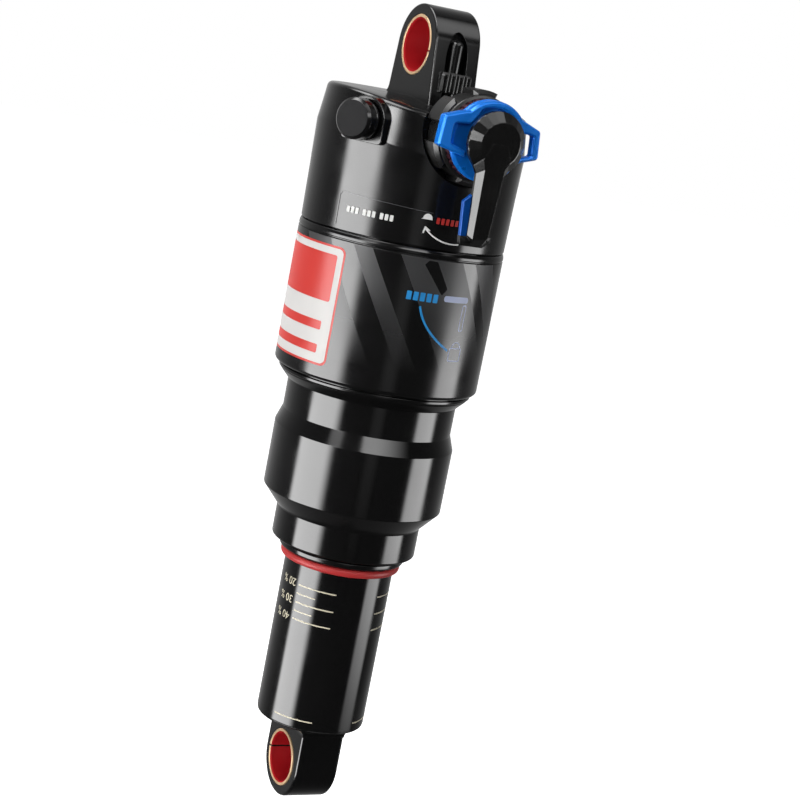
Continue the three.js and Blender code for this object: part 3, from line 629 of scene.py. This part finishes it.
lathed(
    "wiper_lip",
    [
        (14.42, -131.95, 0.1),
        (15.4, -132.05, 0.25),
        (16.45, -131.6, 0.5),
        (16.45, -130.3, 0.45),
        (15.9, -130.1, 0.1),
        (15.9, -129.2),
        (16.7, -129.2),
        (16.7, -127.3),
        (14.6, -127.3),
    ],
    look["ring"],
    "can_side",
    "wiper_seal",
)
lathed(
    "sag_o_ring",
    [(15.07 + 0.7 * p.x, -133.2 + 0.98 * p.y) for p in circle(1, 28)],
    look["oring"],
    "sag_ring",
    "sag_ring",
)

# ------------------------------------------------------------------ damper
lathed(
    "damper_tube",
    [(12.6, -97.8), (14.3, -97.8, 0.3), (14.3, -177.0, 0.2), (12.6, -177.0)],
    look["body"],
    "shaft_side",
    "damper_body",
)


def lower_end():
    rim = [(12.3, -177.05), (14.25, -177.05, 0.1), (14.15, -177.6, 0.35), (0, -177.6)]
    cap = turned("lower_end", [(0, -174.4), (12.3, -174.4), *rim], look["body"])
    eye = plate(
        "eye",
        eye_outline(10.2, 10.1, 10.1, -12.4, 2.4, 2.4),
        rounded_levels(-6.05, 6.05, 0.8, 3),
        lambda u, v, out: Vector((out, -u, -EYE_TO_EYE - v)),
        look["head"],
    )
    combine(cap, eye, "UNION")
    combine(cap, eye_bore(-EYE_TO_EYE), "DIFFERENCE")
    # The eye widens in a small curve where it meets the cap.
    root = arc((-8.65, -180.2), 2.6, 95, 0, 8) + arc((8.65, -180.2), 2.6, 180, 85, 8)
    root = [Vector((8.4, -177.1)), Vector((-8.4, -177.1))] + root
    levels = [(-10.3, 0.5), (-9.9, 0), (10.0, 0), (10.4, 0.5)]
    gather(cap, plate("root", root, levels, flat_front, look["head"]))
    finish_edges(cap)
    return cap


settle(lower_end(), "shaft_side", "lower_eye")


# ------------------------------------------------------------------ air valve
lathed(
    "valve_stem",
    [
        (1.5, 18),
        (3.3, 18),
        (3.3, 28.4),
        (4.2, 28.4),
        (4.2, 28.9, 0.15),
        (2.9, 29.1),
        (2.9, 32.2),
        (1.5, 32.2),
    ],
    look["satin"],
    "can_side",
    "valve_body",
    96,
    on_valve,
)
dust_cap = lathed(
    "valve_dust_cap",
    [
        (3.15, 29.2),
        (4.85, 29.2, 0.2),
        (4.95, 29.9, 0.15),
        (4.75, 30.1, 0.1),
        (4.75, 30.4, 0.1),
        (4.95, 30.6, 0.15),
        (4.95, 32.8, 0.3),
        (4.3, 33.5, 0.2),
        (3.9, 33.66),
        (0, 33.66),
        (0, 32.7),
        (3.15, 32.7),
    ],
    look["ring"],
    "valve_cap",
    "valve_cap",
    96,
    on_valve,
)
# The cap's side is glossy and its face is matt.
FACE_START = 33.5
dust_cap.data.materials.append(look["cap"])
for face in dust_cap.data.polygons:
    reach = face.center.x * math.sin(VALVE_TURN) - face.center.y * math.cos(VALVE_TURN)
    if reach > FACE_START * MM:
        face.material_index = 1


# ------------------------------------------------------------------ adjusters
def housing():
    """A ring with six lugs round it."""
    section = [(4.6, 22.4), (10.3, 22.4), (10.3, 28.9, 0.4), (9.6, 29.4, 0.2), (4.6, 29.4)]
    made = turned("dial_housing", section, look["satin"], 120, on_dial)
    lugs, lug_r, root_r, half = 6, 11.55, 9.4, 17
    for i in range(lugs):
        middle = 90 + 360 / lugs * i
        outer = arc((0, 0), lug_r, middle - half, middle + half, 8)
        inner = [p * (root_r / lug_r) for p in reversed(outer)]
        lug = plate("lug", outer + inner, [(22.4, 0), (27.6, 0), (28.6, 0.8)], on_dial, look["satin"])
        combine(made, lug, "UNION")
    finish_edges(made, 0.12)
    return made


settle(housing(), "can_side", "adjuster_housing")


def knurled_dial():
    outline = []
    teeth, crest, root = 36, 9.75, 9.4
    for i in range(teeth):
        for share, reach in ((0, crest), (0.5, crest), (0.62, root), (0.88, root)):
            t = 2 * math.pi * (i + share) / teeth
            outline.append(Vector((reach * math.cos(t), reach * math.sin(t))))
    levels = [(29.75, 0.25), (30.0, 0), (31.4, 0), (31.65, 0.25)]
    # The dial's colour carries painted shade for the gap between the housing and the compression dial.
    knob = plate("rebound_knob", outline, levels, on_dial, look["red_with_painted_shade"], 25)
    finish_edges(knob)
    return knob


settle(knurled_dial(), "rebound_dial", "rebound_dial")


def winged_dial():
    """A thin disc, with a raised arch that runs out into a windowed wing on each side."""
    disc = [(1.95, 32.0), (9.75, 32.0, 0.2), (9.8, 33.0, 0.2), (9.2, 33.5, 0.2), (1.95, 33.5)]
    ring = turned("dial_with_wings", disc, look["blue"], 144, on_dial)
    outer = [(6.34, -4.4), (13.43, -2.3, 0.9), (12.7, 4.4, 0.9), (8.6, 5.9, 0.8)]
    outer += corners_of(arc((0, 0), 9.65, 42, 138, 28))
    outer += [(-9.2, 6.0, 0.8), (-13.63, 4.5, 0.7), (-14.0, -2.55, 0.7), (-6.34, -4.4)]
    inner = [(-6.5, -2.9), (-10.6, -1.7, 0.6), (-10.7, 2.9, 0.6), (-6.4, 3.4), (-5.6, 4.2)]
    inner += corners_of(arc((0, 0), 8.0, 120, 60, 20))
    inner += [(5.6, 4.2), (6.4, 3.4), (11.0, 3.1, 0.6), (11.4, -1.7, 0.6), (6.5, -2.9)]
    outline = filleted(outer + inner, 4)
    levels = [(32.9, 0.2), (33.1, 0), (34.9, 0), (35.5, 0.45)]
    arch = plate("arch", outline, levels, on_dial, look["blue"], 25)
    gather(ring, arch)
    finish_edges(ring, 0.12, 25)
    return ring


settle(winged_dial(), "compression_dial", "compression_dial")


LEVER_SHARP = 8


def lever_hub():
    """A round hub whose sloping rim is cut in flats."""
    flats, parts, oversize = 20, 6, 1.008
    count = flats * parts
    step = 2 * math.pi / flats
    rings = []
    for radius, out, flat in (
        (7.05, 36.15, False),
        (7.55, 36.6, False),
        (7.55, 37.65, False),
        (7.4, 37.8, True),
        (5.25, 39.75, True),
        (5.05, 39.8, False),
    ):
        ring = []
        for i in range(count):
            t = 2 * math.pi * i / count
            r = radius
            if flat:
                off = (t % step) - step / 2
                r = radius * math.cos(step / 2) / math.cos(off) * oversize
            ring.append(on_dial(r * math.cos(t), r * math.sin(t), out))
        rings.append(ring)
    return loft("lever_arm", rings, look["lever"], LEVER_SHARP)


def lever():
    hub = lever_hub()
    # The arm's sides lean in from its back to its face, more on the left than on the right.
    face = [(-2.66, -22.6), (-2.2, -22.65), (1.0, -22.3), (1.34, -22.1), (1.93, -13.8), (2.3, -5.8)]
    face += [(3.4, -3.7), (2, 0), (-2, 0), (-3.8, -3.95), (-2.98, -6.3)]
    foot = [(-3.2, -22.0), (-1.8, -24.6), (1.0, -24.6), (2.5, -22.8), (3.0, -13.8), (3.4, -7.4)]
    foot += [(4.5, -5.9), (2.5, 0), (-2.5, 0), (-5.0, -5.8), (-3.98, -7.5)]
    levels = ((foot, 37.0), (foot, 37.8), (face, 39.79))
    rings = [[on_dial(u, v, out) for u, v in outline] for outline, out in levels]
    arm = loft("arm", rings, look["lever"], LEVER_SHARP)
    end = filleted([(-4.5, -24.3), (-4.0, -24.66), (1.6, -24.66), (3.6, -23.2), (3.6, -22.0), (-4.8, -22.4)])
    tip = plate("tip", end, [(36.15, 0), (37.4, 0), (38.1, 0.9)], on_dial, look["lever"], LEVER_SHARP)
    gather(hub, arm, tip)
    finish_edges(hub, 0.1, 20, LEVER_SHARP)
    return hub


settle(lever(), "threshold_lever", "threshold_lever")

# The backing takes the darker copy of the blue: painted shade on a part that faces away from the lamps.
backing = plate(
    "lever_back",
    filleted([(-4.7, -22.5), (2.3, -22.5), (2.5, -14.4), (2.4, -12.5), (-3.6, -12.5), (-5.5, -14.3)]),
    [(36.12, 0.1), (36.25, 0), (37.25, 0), (37.4, 0.15)],
    on_dial,
    look["blue_painted_shade"],
    25,
)
finish_edges(backing, 0.05)
settle(backing, "threshold_lever", "lever_backing")


# ------------------------------------------------------------------ prints and labels
# A print is drawn flat, in (millimetres round the cylinder from -Y, z), then bent round the cylinder.
LIFT = 0.02


def bend(made, radius, lift, width):
    """Cuts a flat drawing into strips of some width and bends it round the cylinder, in metres."""
    low = min(v.co.x for v in made.verts)
    high = max(v.co.x for v in made.verts)
    steps = max(1, int((high - low) / width))
    for k in range(1, steps):
        x = low + (high - low) * k / steps
        geometry = made.verts[:] + made.edges[:] + made.faces[:]
        bmesh.ops.bisect_plane(made, geom=geometry, plane_co=(x, 0, 0), plane_no=(1, 0, 0), dist=1e-5)
    for vertex in made.verts:
        turn = vertex.co.x / radius
        reach = radius + lift
        vertex.co = Vector((reach * math.sin(turn), -reach * math.cos(turn), vertex.co.y)) * MM


def print_mesh(name, made, material):
    """The finished drawing as a mesh, with its faces turned outwards."""
    made.normal_update()
    for face in made.faces:
        middle = face.calc_center_median()
        if face.normal.dot(Vector((middle.x, middle.y, 0))) < 0:
            face.normal_flip()
    mesh = bpy.data.meshes.new(name)
    made.to_mesh(mesh)
    made.free()
    mesh.materials.append(material)
    return mesh


def patch(outline, holes, radius, lift):
    """A thin sheet on the cylinder, from an outline and its holes."""
    made = bmesh.new()
    edges = []
    for loop in (outline, *holes):
        corners = [made.verts.new((p.x, p.y, 0)) for p in loop]
        for i, corner in enumerate(corners):
            edges.append(made.edges.new((corner, corners[(i + 1) % len(corners)])))
    bmesh.ops.triangle_fill(made, edges=edges, use_beauty=True, use_dissolve=False)
    bend(made, radius, lift, 0.7)
    mesh = bpy.data.meshes.new("scratch")
    made.to_mesh(mesh)
    made.free()
    return mesh


def prints(name, shapes, radius, body, material, lift=LIFT):
    """One piece from several patches. A shape is an outline, or (outline, [holes])."""
    made = bmesh.new()
    for shape in shapes:
        outline, holes = shape if isinstance(shape, tuple) else (shape, ())
        mesh = patch(outline, holes, radius, lift)
        made.from_mesh(mesh)
        bpy.data.meshes.remove(mesh)
    whole = print_mesh(name, made, material)
    whole.shade_smooth()
    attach(link(name, whole), body)


def round_box(left, bottom, right, top, corner=0.0):
    box = ((left, bottom), (right, bottom), (right, top), (left, top))
    return filleted([(x, z, corner) for x, z in box], 6)


def degrees_box(radius, start, end, bottom, top, corner=0.0):
    """A box whose sides are given in degrees round the cylinder."""
    scale = DEGREE * radius
    return round_box(start * scale, bottom, end * scale, top, corner)


def frame_box(radius, start, end, bottom, top, corner):
    """A box drawn as a line."""
    width = 0.3
    left, right = start * DEGREE * radius, end * DEGREE * radius
    hole = round_box(left + width, bottom + width, right - width, top - width, corner - 0.2)
    return (round_box(left, bottom, right, top, corner), [hole])


def stroke(path, width):
    """A line of some width along a path of (millimetres round, z) points."""
    left, right = [], []
    for i, p in enumerate(path):
        a = path[max(0, i - 1)]
        b = path[min(len(path) - 1, i + 1)]
        way = (b - a).normalized()
        side = Vector((-way.y, way.x)) * width / 2
        left.append(p + side)
        right.append(p - side)
    return right + list(reversed(left))


def row_of_blocks(start, bottom, counts, width=0.85, height=1.5, gap=0.38, between=1.15):
    """Plain blocks in groups, where the real object has a line of small words."""
    made = []
    left = start
    for number in counts:
        for _ in range(number):
            made.append(round_box(left, bottom, left + width, bottom + height, 0.18))
            left += width + gap
        left += between - gap
    return made


def polar(radius, points):
    """(azimuth in degrees, z) points as (millimetres round, z)."""
    return [Vector((a * DEGREE * radius, z)) for a, z in points]


def curve_through(a, b, c, count=24):
    """A parabola from a to c that passes b half way."""
    control = b * 2 - (a + c) * 0.5
    made = []
    for k in range(count + 1):
        t = k / count
        made.append(a * (1 - t) ** 2 + control * 2 * t * (1 - t) + c * t * t)
    return made


def numerals(text, size, centre_s, centre_z, flipped):
    """A plain printed number as a flat mesh."""
    data = bpy.data.curves.new("numerals", "FONT")
    data.body = text
    data.size = size
    data.align_x = "CENTER"
    data.align_y = "CENTER"
    scratch = link("numerals", data)
    bpy.context.view_layer.update()
    graph = bpy.context.evaluated_depsgraph_get()
    mesh = bpy.data.meshes.new_from_object(scratch.evaluated_get(graph))
    bpy.data.objects.remove(scratch)
    sign = -1 if flipped else 1
    for vertex in mesh.vertices:
        vertex.co = Vector((centre_s + sign * vertex.co.x, centre_z + sign * vertex.co.y, 0))
    return mesh


def number_prints(name, entries, radius, body, material):
    made = bmesh.new()
    for text, size, azimuth, z, flipped in entries:
        mesh = numerals(text, size, azimuth * DEGREE * radius, z, flipped)
        made.from_mesh(mesh)
        bpy.data.meshes.remove(mesh)
    bend(made, radius, LIFT, 0.5)
    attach(link(name, print_mesh(name, made, material)), body)


# The sag scale on the damper tube: (start, end, half the line's width, heights).
lines = []
for start, end, half, heights in (
    (-67.5, -24, 0.17, (-139.6, -144.24, -148.7, -174.7)),
    (-68, -45.5, 0.15, (-141.9, -146.5)),
    (25, 68, 0.17, (-139.8, -144.4, -148.9, -174.8)),
):
    lines += [degrees_box(BODY_R, start, end, z - half, z + half) for z in heights]
prints("sag_scale_lines", lines, BODY_R, "shaft_side", look["print_cream"])
number_prints(
    "sag_scale_numbers",
    [("20 %", 2.9, -83, -139.4, True), ("30 %", 2.9, -83.5, -144.0, True), ("40 %", 2.9, -84, -148.6, True)],
    BODY_R,
    "shaft_side",
    look["print_cream"],
)

# The label on the can: a red rim, a white field, a plain red panel and two plain bars.
label = {"left": -118, "right": -56.2, "bottom": -80.4, "top": -50.8}


def label_box(margin, corner, bottom=label["bottom"], top=label["top"]):
    scale = DEGREE * CAN_R
    left, right = label["left"] * scale + margin, label["right"] * scale - margin
    return round_box(left, bottom + margin, right, top - margin, corner)


prints("label_rim", [label_box(0, 1.8)], CAN_R, "can_side", look["label_red"], 0.02)
prints("label_field", [label_box(0.55, 1.35)], CAN_R, "can_side", look["label_white"], 0.04)
prints("label_panel", [label_box(2.2, 0.6, bottom=-66.8)], CAN_R, "can_side", look["label_red"], 0.06)
prints(
    "label_bars",
    [label_box(3.4, 0.4, bottom=-75.2, top=-66.2), label_box(3.4, 0.4, bottom=-81.0, top=-72.0)],
    CAN_R,
    "can_side",
    look["label_red"],
    0.06,
)

# Matt diagonal bands between the can's gloss stripes, which fade into the gloss lower down.
LEAN = 0.58
BAND_END = -77.5


def diagonal(start, end):
    """A band whose sides lean to the right as they go down, from start and end at the can's top edge."""
    shift = (CAN_TOP - BAND_END) * LEAN
    band = ((start + shift, BAND_END), (end + shift, BAND_END), (end, CAN_TOP), (start, CAN_TOP))
    return [Vector(p) for p in band]


# A small gloss mark at the top of the widest band.
chip = [(-6.0, -50.7), (-5.1, -49.6, 0.3), (-2.9, -49.6, 0.5), (1.1, -56.0, 0.5), (-0.2, -57.6, 0.3)]
bands = [
    diagonal(-40.5, -31.2),
    diagonal(-24.2, -19.2),
    (diagonal(-12.2, 4.2), [filleted(chip, 3)]),
    diagonal(8.4, 16.0),
]
prints("can_bands", bands, CAN_R, "can_side", faded("look_band", -0.056, BAND_END * MM), 0.01)

# The lever's diagram on the can.
prints(
    "diagram_blue",
    [
        stroke(curve_through(*polar(CAN_R, [(-11.4, -60.8), (-4.4, -66.3), (10, -71)])), 0.55),
        *row_of_blocks(-9.1, -59.6, (5,), 1.25, 2.1, 0.45),
    ],
    CAN_R,
    "can_side",
    look["print_blue"],
)
prints(
    "diagram_pale",
    [
        degrees_box(CAN_R, 1.5, 17.8, -59.0, -57.5, 0.6),
        frame_box(CAN_R, 14.6, 17.8, -66.1, -59.4, 0.6),
        frame_box(CAN_R, 11, 20, -73.7, -70.2, 0.5),
        stroke(arc((15.5 * DEGREE * CAN_R, -70.2), 1.35, 0, 180, 16), 0.3),
    ],
    CAN_R,
    "can_side",
    look["print_pale"],
)

# The adjuster marks and the panel outline on the head.
panel_path = polar(HEAD_R, [(-67, -45.6), (-67, -38.4), (-65.6, -37.4), (-14, -38.2)])
mark = polar(HEAD_R, [(-17, -42.0), (-7.5, -44.5), (3.5, -44.8)])
tip = mark[0]
dome = [tip + Vector((-1.3, 2.1)), tip + Vector((1.5, 2.1))]
dome += arc((tip.x + 0.25, tip.y + 2.35), 1.15, 0, 180, 14)
prints(
    "head_marks",
    [
        stroke(curve_through(*mark), 0.36),
        stroke([tip + Vector((0.15, 0.4)), tip + Vector((-0.25, -1.25))], 0.38),
        stroke([tip + Vector((-0.1, 0.3)), tip + Vector((1.35, -0.5))], 0.38),
        dome,
    ],
    HEAD_R,
    "can_side",
    look["print_white"],
    0.08,
)
prints("pressure_note", row_of_blocks(-27.9, -42.0, (3, 3, 3)), HEAD_R, "can_side", look["print_white"], 0.08)
prints("direction_note", row_of_blocks(-5.3, -40.6, (7,)), HEAD_R, "can_side", look["print_red"], 0.08)
prints("panel_outline", [stroke(panel_path, 0.16)], HEAD_R, "can_side", look["print_grey"], 0.06)

# ------------------------------------------------------------------ CAD nodes that stay
INNER = {
    "rubber": (
        "head_oring",
        "inner_can_oring",
        "neck_air_seal",
        "bottom_out_bumper",
        "air_piston_seal",
        "shaft_seal",
        "top_out_bumper",
        "floating_piston_oring",
    ),
    "rim": ("neck_bushing", "piston_band", "air_piston_glide_ring", "shaft_bushing"),
    "metal": ("main_piston", "air_piston", "floating_piston"),
}
for node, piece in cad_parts.items():
    if piece.hide_render:
        continue
    chosen = next((key for key, names in INNER.items() if node in names), "steel")
    piece.data.materials.clear()
    piece.data.materials.append(look[chosen])

# ------------------------------------------------------------------ camera
FOCAL_LENGTHS = 2.275375  # focal length over the picture's width
SENSOR = 36
CAMERA_TURN, CAMERA_RISE, CAMERA_ROLL = -28.85, 10.85, 11.11
CAMERA_DISTANCE = 470.8
CAMERA_SHIFT = (8.45, 4.11)
MIDDLE = Vector((0, 0, -EYE_TO_EYE / 2))
SKY = Vector((0, 0, 1))


def direction(turn, rise):
    """Turn in degrees from the camera's own side, positive to the right; rise above the horizon."""
    a, e = (CAMERA_TURN + turn) * DEGREE, rise * DEGREE
    return Vector((math.sin(a) * math.cos(e), -math.cos(a) * math.cos(e), math.sin(e)))


def pose(x, y, z, where):
    """The matrix whose columns are three axes and a place."""
    return Matrix([(x[i], y[i], z[i], where[i]) for i in range(3)] + [(0, 0, 0, 1)])


back = direction(0, CAMERA_RISE)
level = (-back).cross(SKY).normalized()
upright = level.cross(-back)
roll = CAMERA_ROLL * DEGREE
right = level * math.cos(roll) + upright * math.sin(roll)
up = -level * math.sin(roll) + upright * math.cos(roll)
lens = bpy.data.cameras.new("camera")
lens.sensor_width = SENSOR
lens.lens = SENSOR * FOCAL_LENGTHS
lens.clip_start = 0.01
camera = link("camera", lens)
spot = MIDDLE + back * CAMERA_DISTANCE + right * CAMERA_SHIFT[0] + up * CAMERA_SHIFT[1]
camera.matrix_world = pose(right, up, back, spot * MM)
bpy.context.scene.camera = camera


# ------------------------------------------------------------------ light
# Matt surfaces get only this share of the panels' light, so that the panels' reflections can be bright.
DIFFUSE_SHARE = 0.24
PANEL_DISTANCE = 1.2


def ramped(nodes, links, value, start, end):
    """0 before start, 1 after end, and smooth in between."""
    ramp = nodes.new("ShaderNodeMapRange")
    ramp.interpolation_type = "SMOOTHSTEP"
    ramp.inputs["From Min"].default_value = start
    ramp.inputs["From Max"].default_value = end
    links.new(value, ramp.inputs["Value"])
    return ramp.outputs["Result"]


def product(nodes, links, a, b):
    made = nodes.new("ShaderNodeMath")
    made.operation = "MULTIPLY"
    links.new(a, made.inputs[0])
    if isinstance(b, float):
        made.inputs[1].default_value = b
    else:
        links.new(b, made.inputs[1])
    return made.outputs["Value"]


def glow(name, strength, left, right, bottom, top):
    """Emission that fades towards the panel's edges; an edge's value is the share of the panel that fades."""
    material = bpy.data.materials.new(name)
    material.use_nodes = True
    nodes, links = material.node_tree.nodes, material.node_tree.links
    nodes.clear()
    place = nodes.new("ShaderNodeTexCoord")
    split = nodes.new("ShaderNodeSeparateXYZ")
    links.new(place.outputs["Generated"], split.inputs["Vector"])
    level = ramped(nodes, links, split.outputs["X"], 0.0, left)
    level = product(nodes, links, level, ramped(nodes, links, split.outputs["X"], 1.0, 1.0 - right))
    level = product(nodes, links, level, ramped(nodes, links, split.outputs["Y"], 0.0, bottom))
    level = product(nodes, links, level, ramped(nodes, links, split.outputs["Y"], 1.0, 1.0 - top))
    level = product(nodes, links, level, strength)
    path = nodes.new("ShaderNodeLightPath")
    weaker = nodes.new("ShaderNodeMath")
    weaker.operation = "MULTIPLY_ADD"
    weaker.inputs[1].default_value = DIFFUSE_SHARE - 1.0
    weaker.inputs[2].default_value = 1.0
    links.new(path.outputs["Is Diffuse Ray"], weaker.inputs[0])
    level = product(nodes, links, level, weaker.outputs["Value"])
    light = nodes.new("ShaderNodeEmission")
    out = nodes.new("ShaderNodeOutputMaterial")
    links.new(level, light.inputs["Strength"])
    links.new(light.outputs["Emission"], out.inputs["Surface"])
    return material


def panel(name, start, end, low, high, strength, left=0.1, right=0.1, bottom=0.1, top=0.1):
    """A flat lit panel that faces the object and spans a range of turn and rise."""
    columns, rows = 12, 6
    points = [(i / columns - 0.5, j / rows - 0.5, 0) for i in range(columns + 1) for j in range(rows + 1)]
    faces = []
    for i in range(columns):
        for j in range(rows):
            a = i * (rows + 1) + j
            faces.append((a, a + 1, a + rows + 2, a + rows + 1))
    mesh = bpy.data.meshes.new(name)
    mesh.from_pydata(points, [], faces)
    mesh.materials.append(glow(name + "_glow", strength, left, right, bottom, top))
    towards = direction((start + end) / 2, (low + high) / 2)
    wide = 2 * PANEL_DISTANCE * math.tan((end - start) * DEGREE / 2)
    tall = 2 * PANEL_DISTANCE * math.tan((high - low) * DEGREE / 2)
    side = SKY.cross(towards).normalized()
    rise = towards.cross(side)
    made = link(name, mesh)
    made.matrix_world = pose(side * wide, rise * tall, towards, MIDDLE * MM + towards * PANEL_DISTANCE)
    made.visible_camera = False


panel("key_left", -84.5, -30, -36, 6, 11.2, left=0.15, right=0.27, top=0.15)
panel("key_right", 68.5, 106.5, -28, 8, 6.6, left=0.2, right=0.24, bottom=0.4, top=0.2)
panel("front_dim", 4, 28, -20, 16, 0.35, left=0.4, right=0.4, bottom=0.33)
panel("shoulder_spot", -44, -22, 6, 19, 19.0, left=0.25, right=0.35, bottom=0.3, top=0.3)
panel("flare_left", -46, -24, 21, 38, 2.8, left=0.3, right=0.3, bottom=0.2, top=0.2)
panel("flare_right", 3, 66, 19, 37, 5.6, left=0.08, right=0.75, bottom=0.2, top=0.2)
panel("overhead", -110, -35, 44, 80, 8.6, left=0.3, right=0.3, bottom=0.3, top=0.3)
panel("upper_right", 30, 90, 38, 84, 2.2, left=0.3, right=0.3, bottom=0.25, top=0.2)

# The camera sees a white world. For all other rays the studio is dark round the camera and paler at the back.
PALE_SIDE = direction(-167, 0)
PALE, DARK, FALL = 0.52, 0.035, 4.0
WHITE = (1, 1, 1, 1)
world = bpy.data.worlds.new("world")
bpy.context.scene.world = world
world.use_nodes = True
nodes, links = world.node_tree.nodes, world.node_tree.links
nodes.clear()
path = nodes.new("ShaderNodeLightPath")
seen = nodes.new("ShaderNodeBackground")
seen.inputs["Color"].default_value = WHITE
towards = nodes.new("ShaderNodeTexCoord")
along = nodes.new("ShaderNodeVectorMath")
along.operation = "DOT_PRODUCT"
along.inputs[1].default_value = PALE_SIDE
links.new(towards.outputs["Generated"], along.inputs[0])
ramp = nodes.new("ShaderNodeMapRange")
ramp.inputs["From Min"].default_value = -1.0
ramp.inputs["From Max"].default_value = 1.0
links.new(along.outputs["Value"], ramp.inputs["Value"])
curve = nodes.new("ShaderNodeMath")
curve.operation = "POWER"
curve.inputs[1].default_value = FALL
links.new(ramp.outputs["Result"], curve.inputs[0])
scaled = nodes.new("ShaderNodeMath")
scaled.operation = "MULTIPLY_ADD"
scaled.inputs[1].default_value = PALE
scaled.inputs[2].default_value = DARK
links.new(curve.outputs["Value"], scaled.inputs[0])
unseen = nodes.new("ShaderNodeBackground")
unseen.inputs["Color"].default_value = WHITE
links.new(scaled.outputs["Value"], unseen.inputs["Strength"])
choice = nodes.new("ShaderNodeMixShader")
out = nodes.new("ShaderNodeOutputWorld")
links.new(path.outputs["Is Camera Ray"], choice.inputs["Fac"])
links.new(unseen.outputs["Background"], choice.inputs[1])
links.new(seen.outputs["Background"], choice.inputs[2])
links.new(choice.outputs["Shader"], out.inputs["Surface"])

# A white floor that the shock neither mirrors nor takes light from.
FLOOR_Z, HALF = -0.62, 8
floor_mesh = bpy.data.meshes.new("floor")
corners = ((-HALF, -HALF, FLOOR_Z), (HALF, -HALF, FLOOR_Z), (HALF, HALF, FLOOR_Z), (-HALF, HALF, FLOOR_Z))
floor_mesh.from_pydata(corners, [], [(0, 1, 2, 3)])
floor_look = bpy.data.materials.new("floor_look")
floor_look.use_nodes = True
shader = floor_look.node_tree.nodes["Principled BSDF"]
shader.inputs["Base Color"].default_value = (0.9, 0.9, 0.9, 1)
shader.inputs["Roughness"].default_value = 0.9
shader.inputs["Emission Color"].default_value = WHITE
shader.inputs["Emission Strength"].default_value = 1.0
floor_mesh.materials.append(floor_look)
floor = link("floor", floor_mesh)
floor.visible_glossy = False
floor.visible_diffuse = False

bpy.context.scene.view_settings.view_transform = "Standard"
bpy.context.view_layer.update()
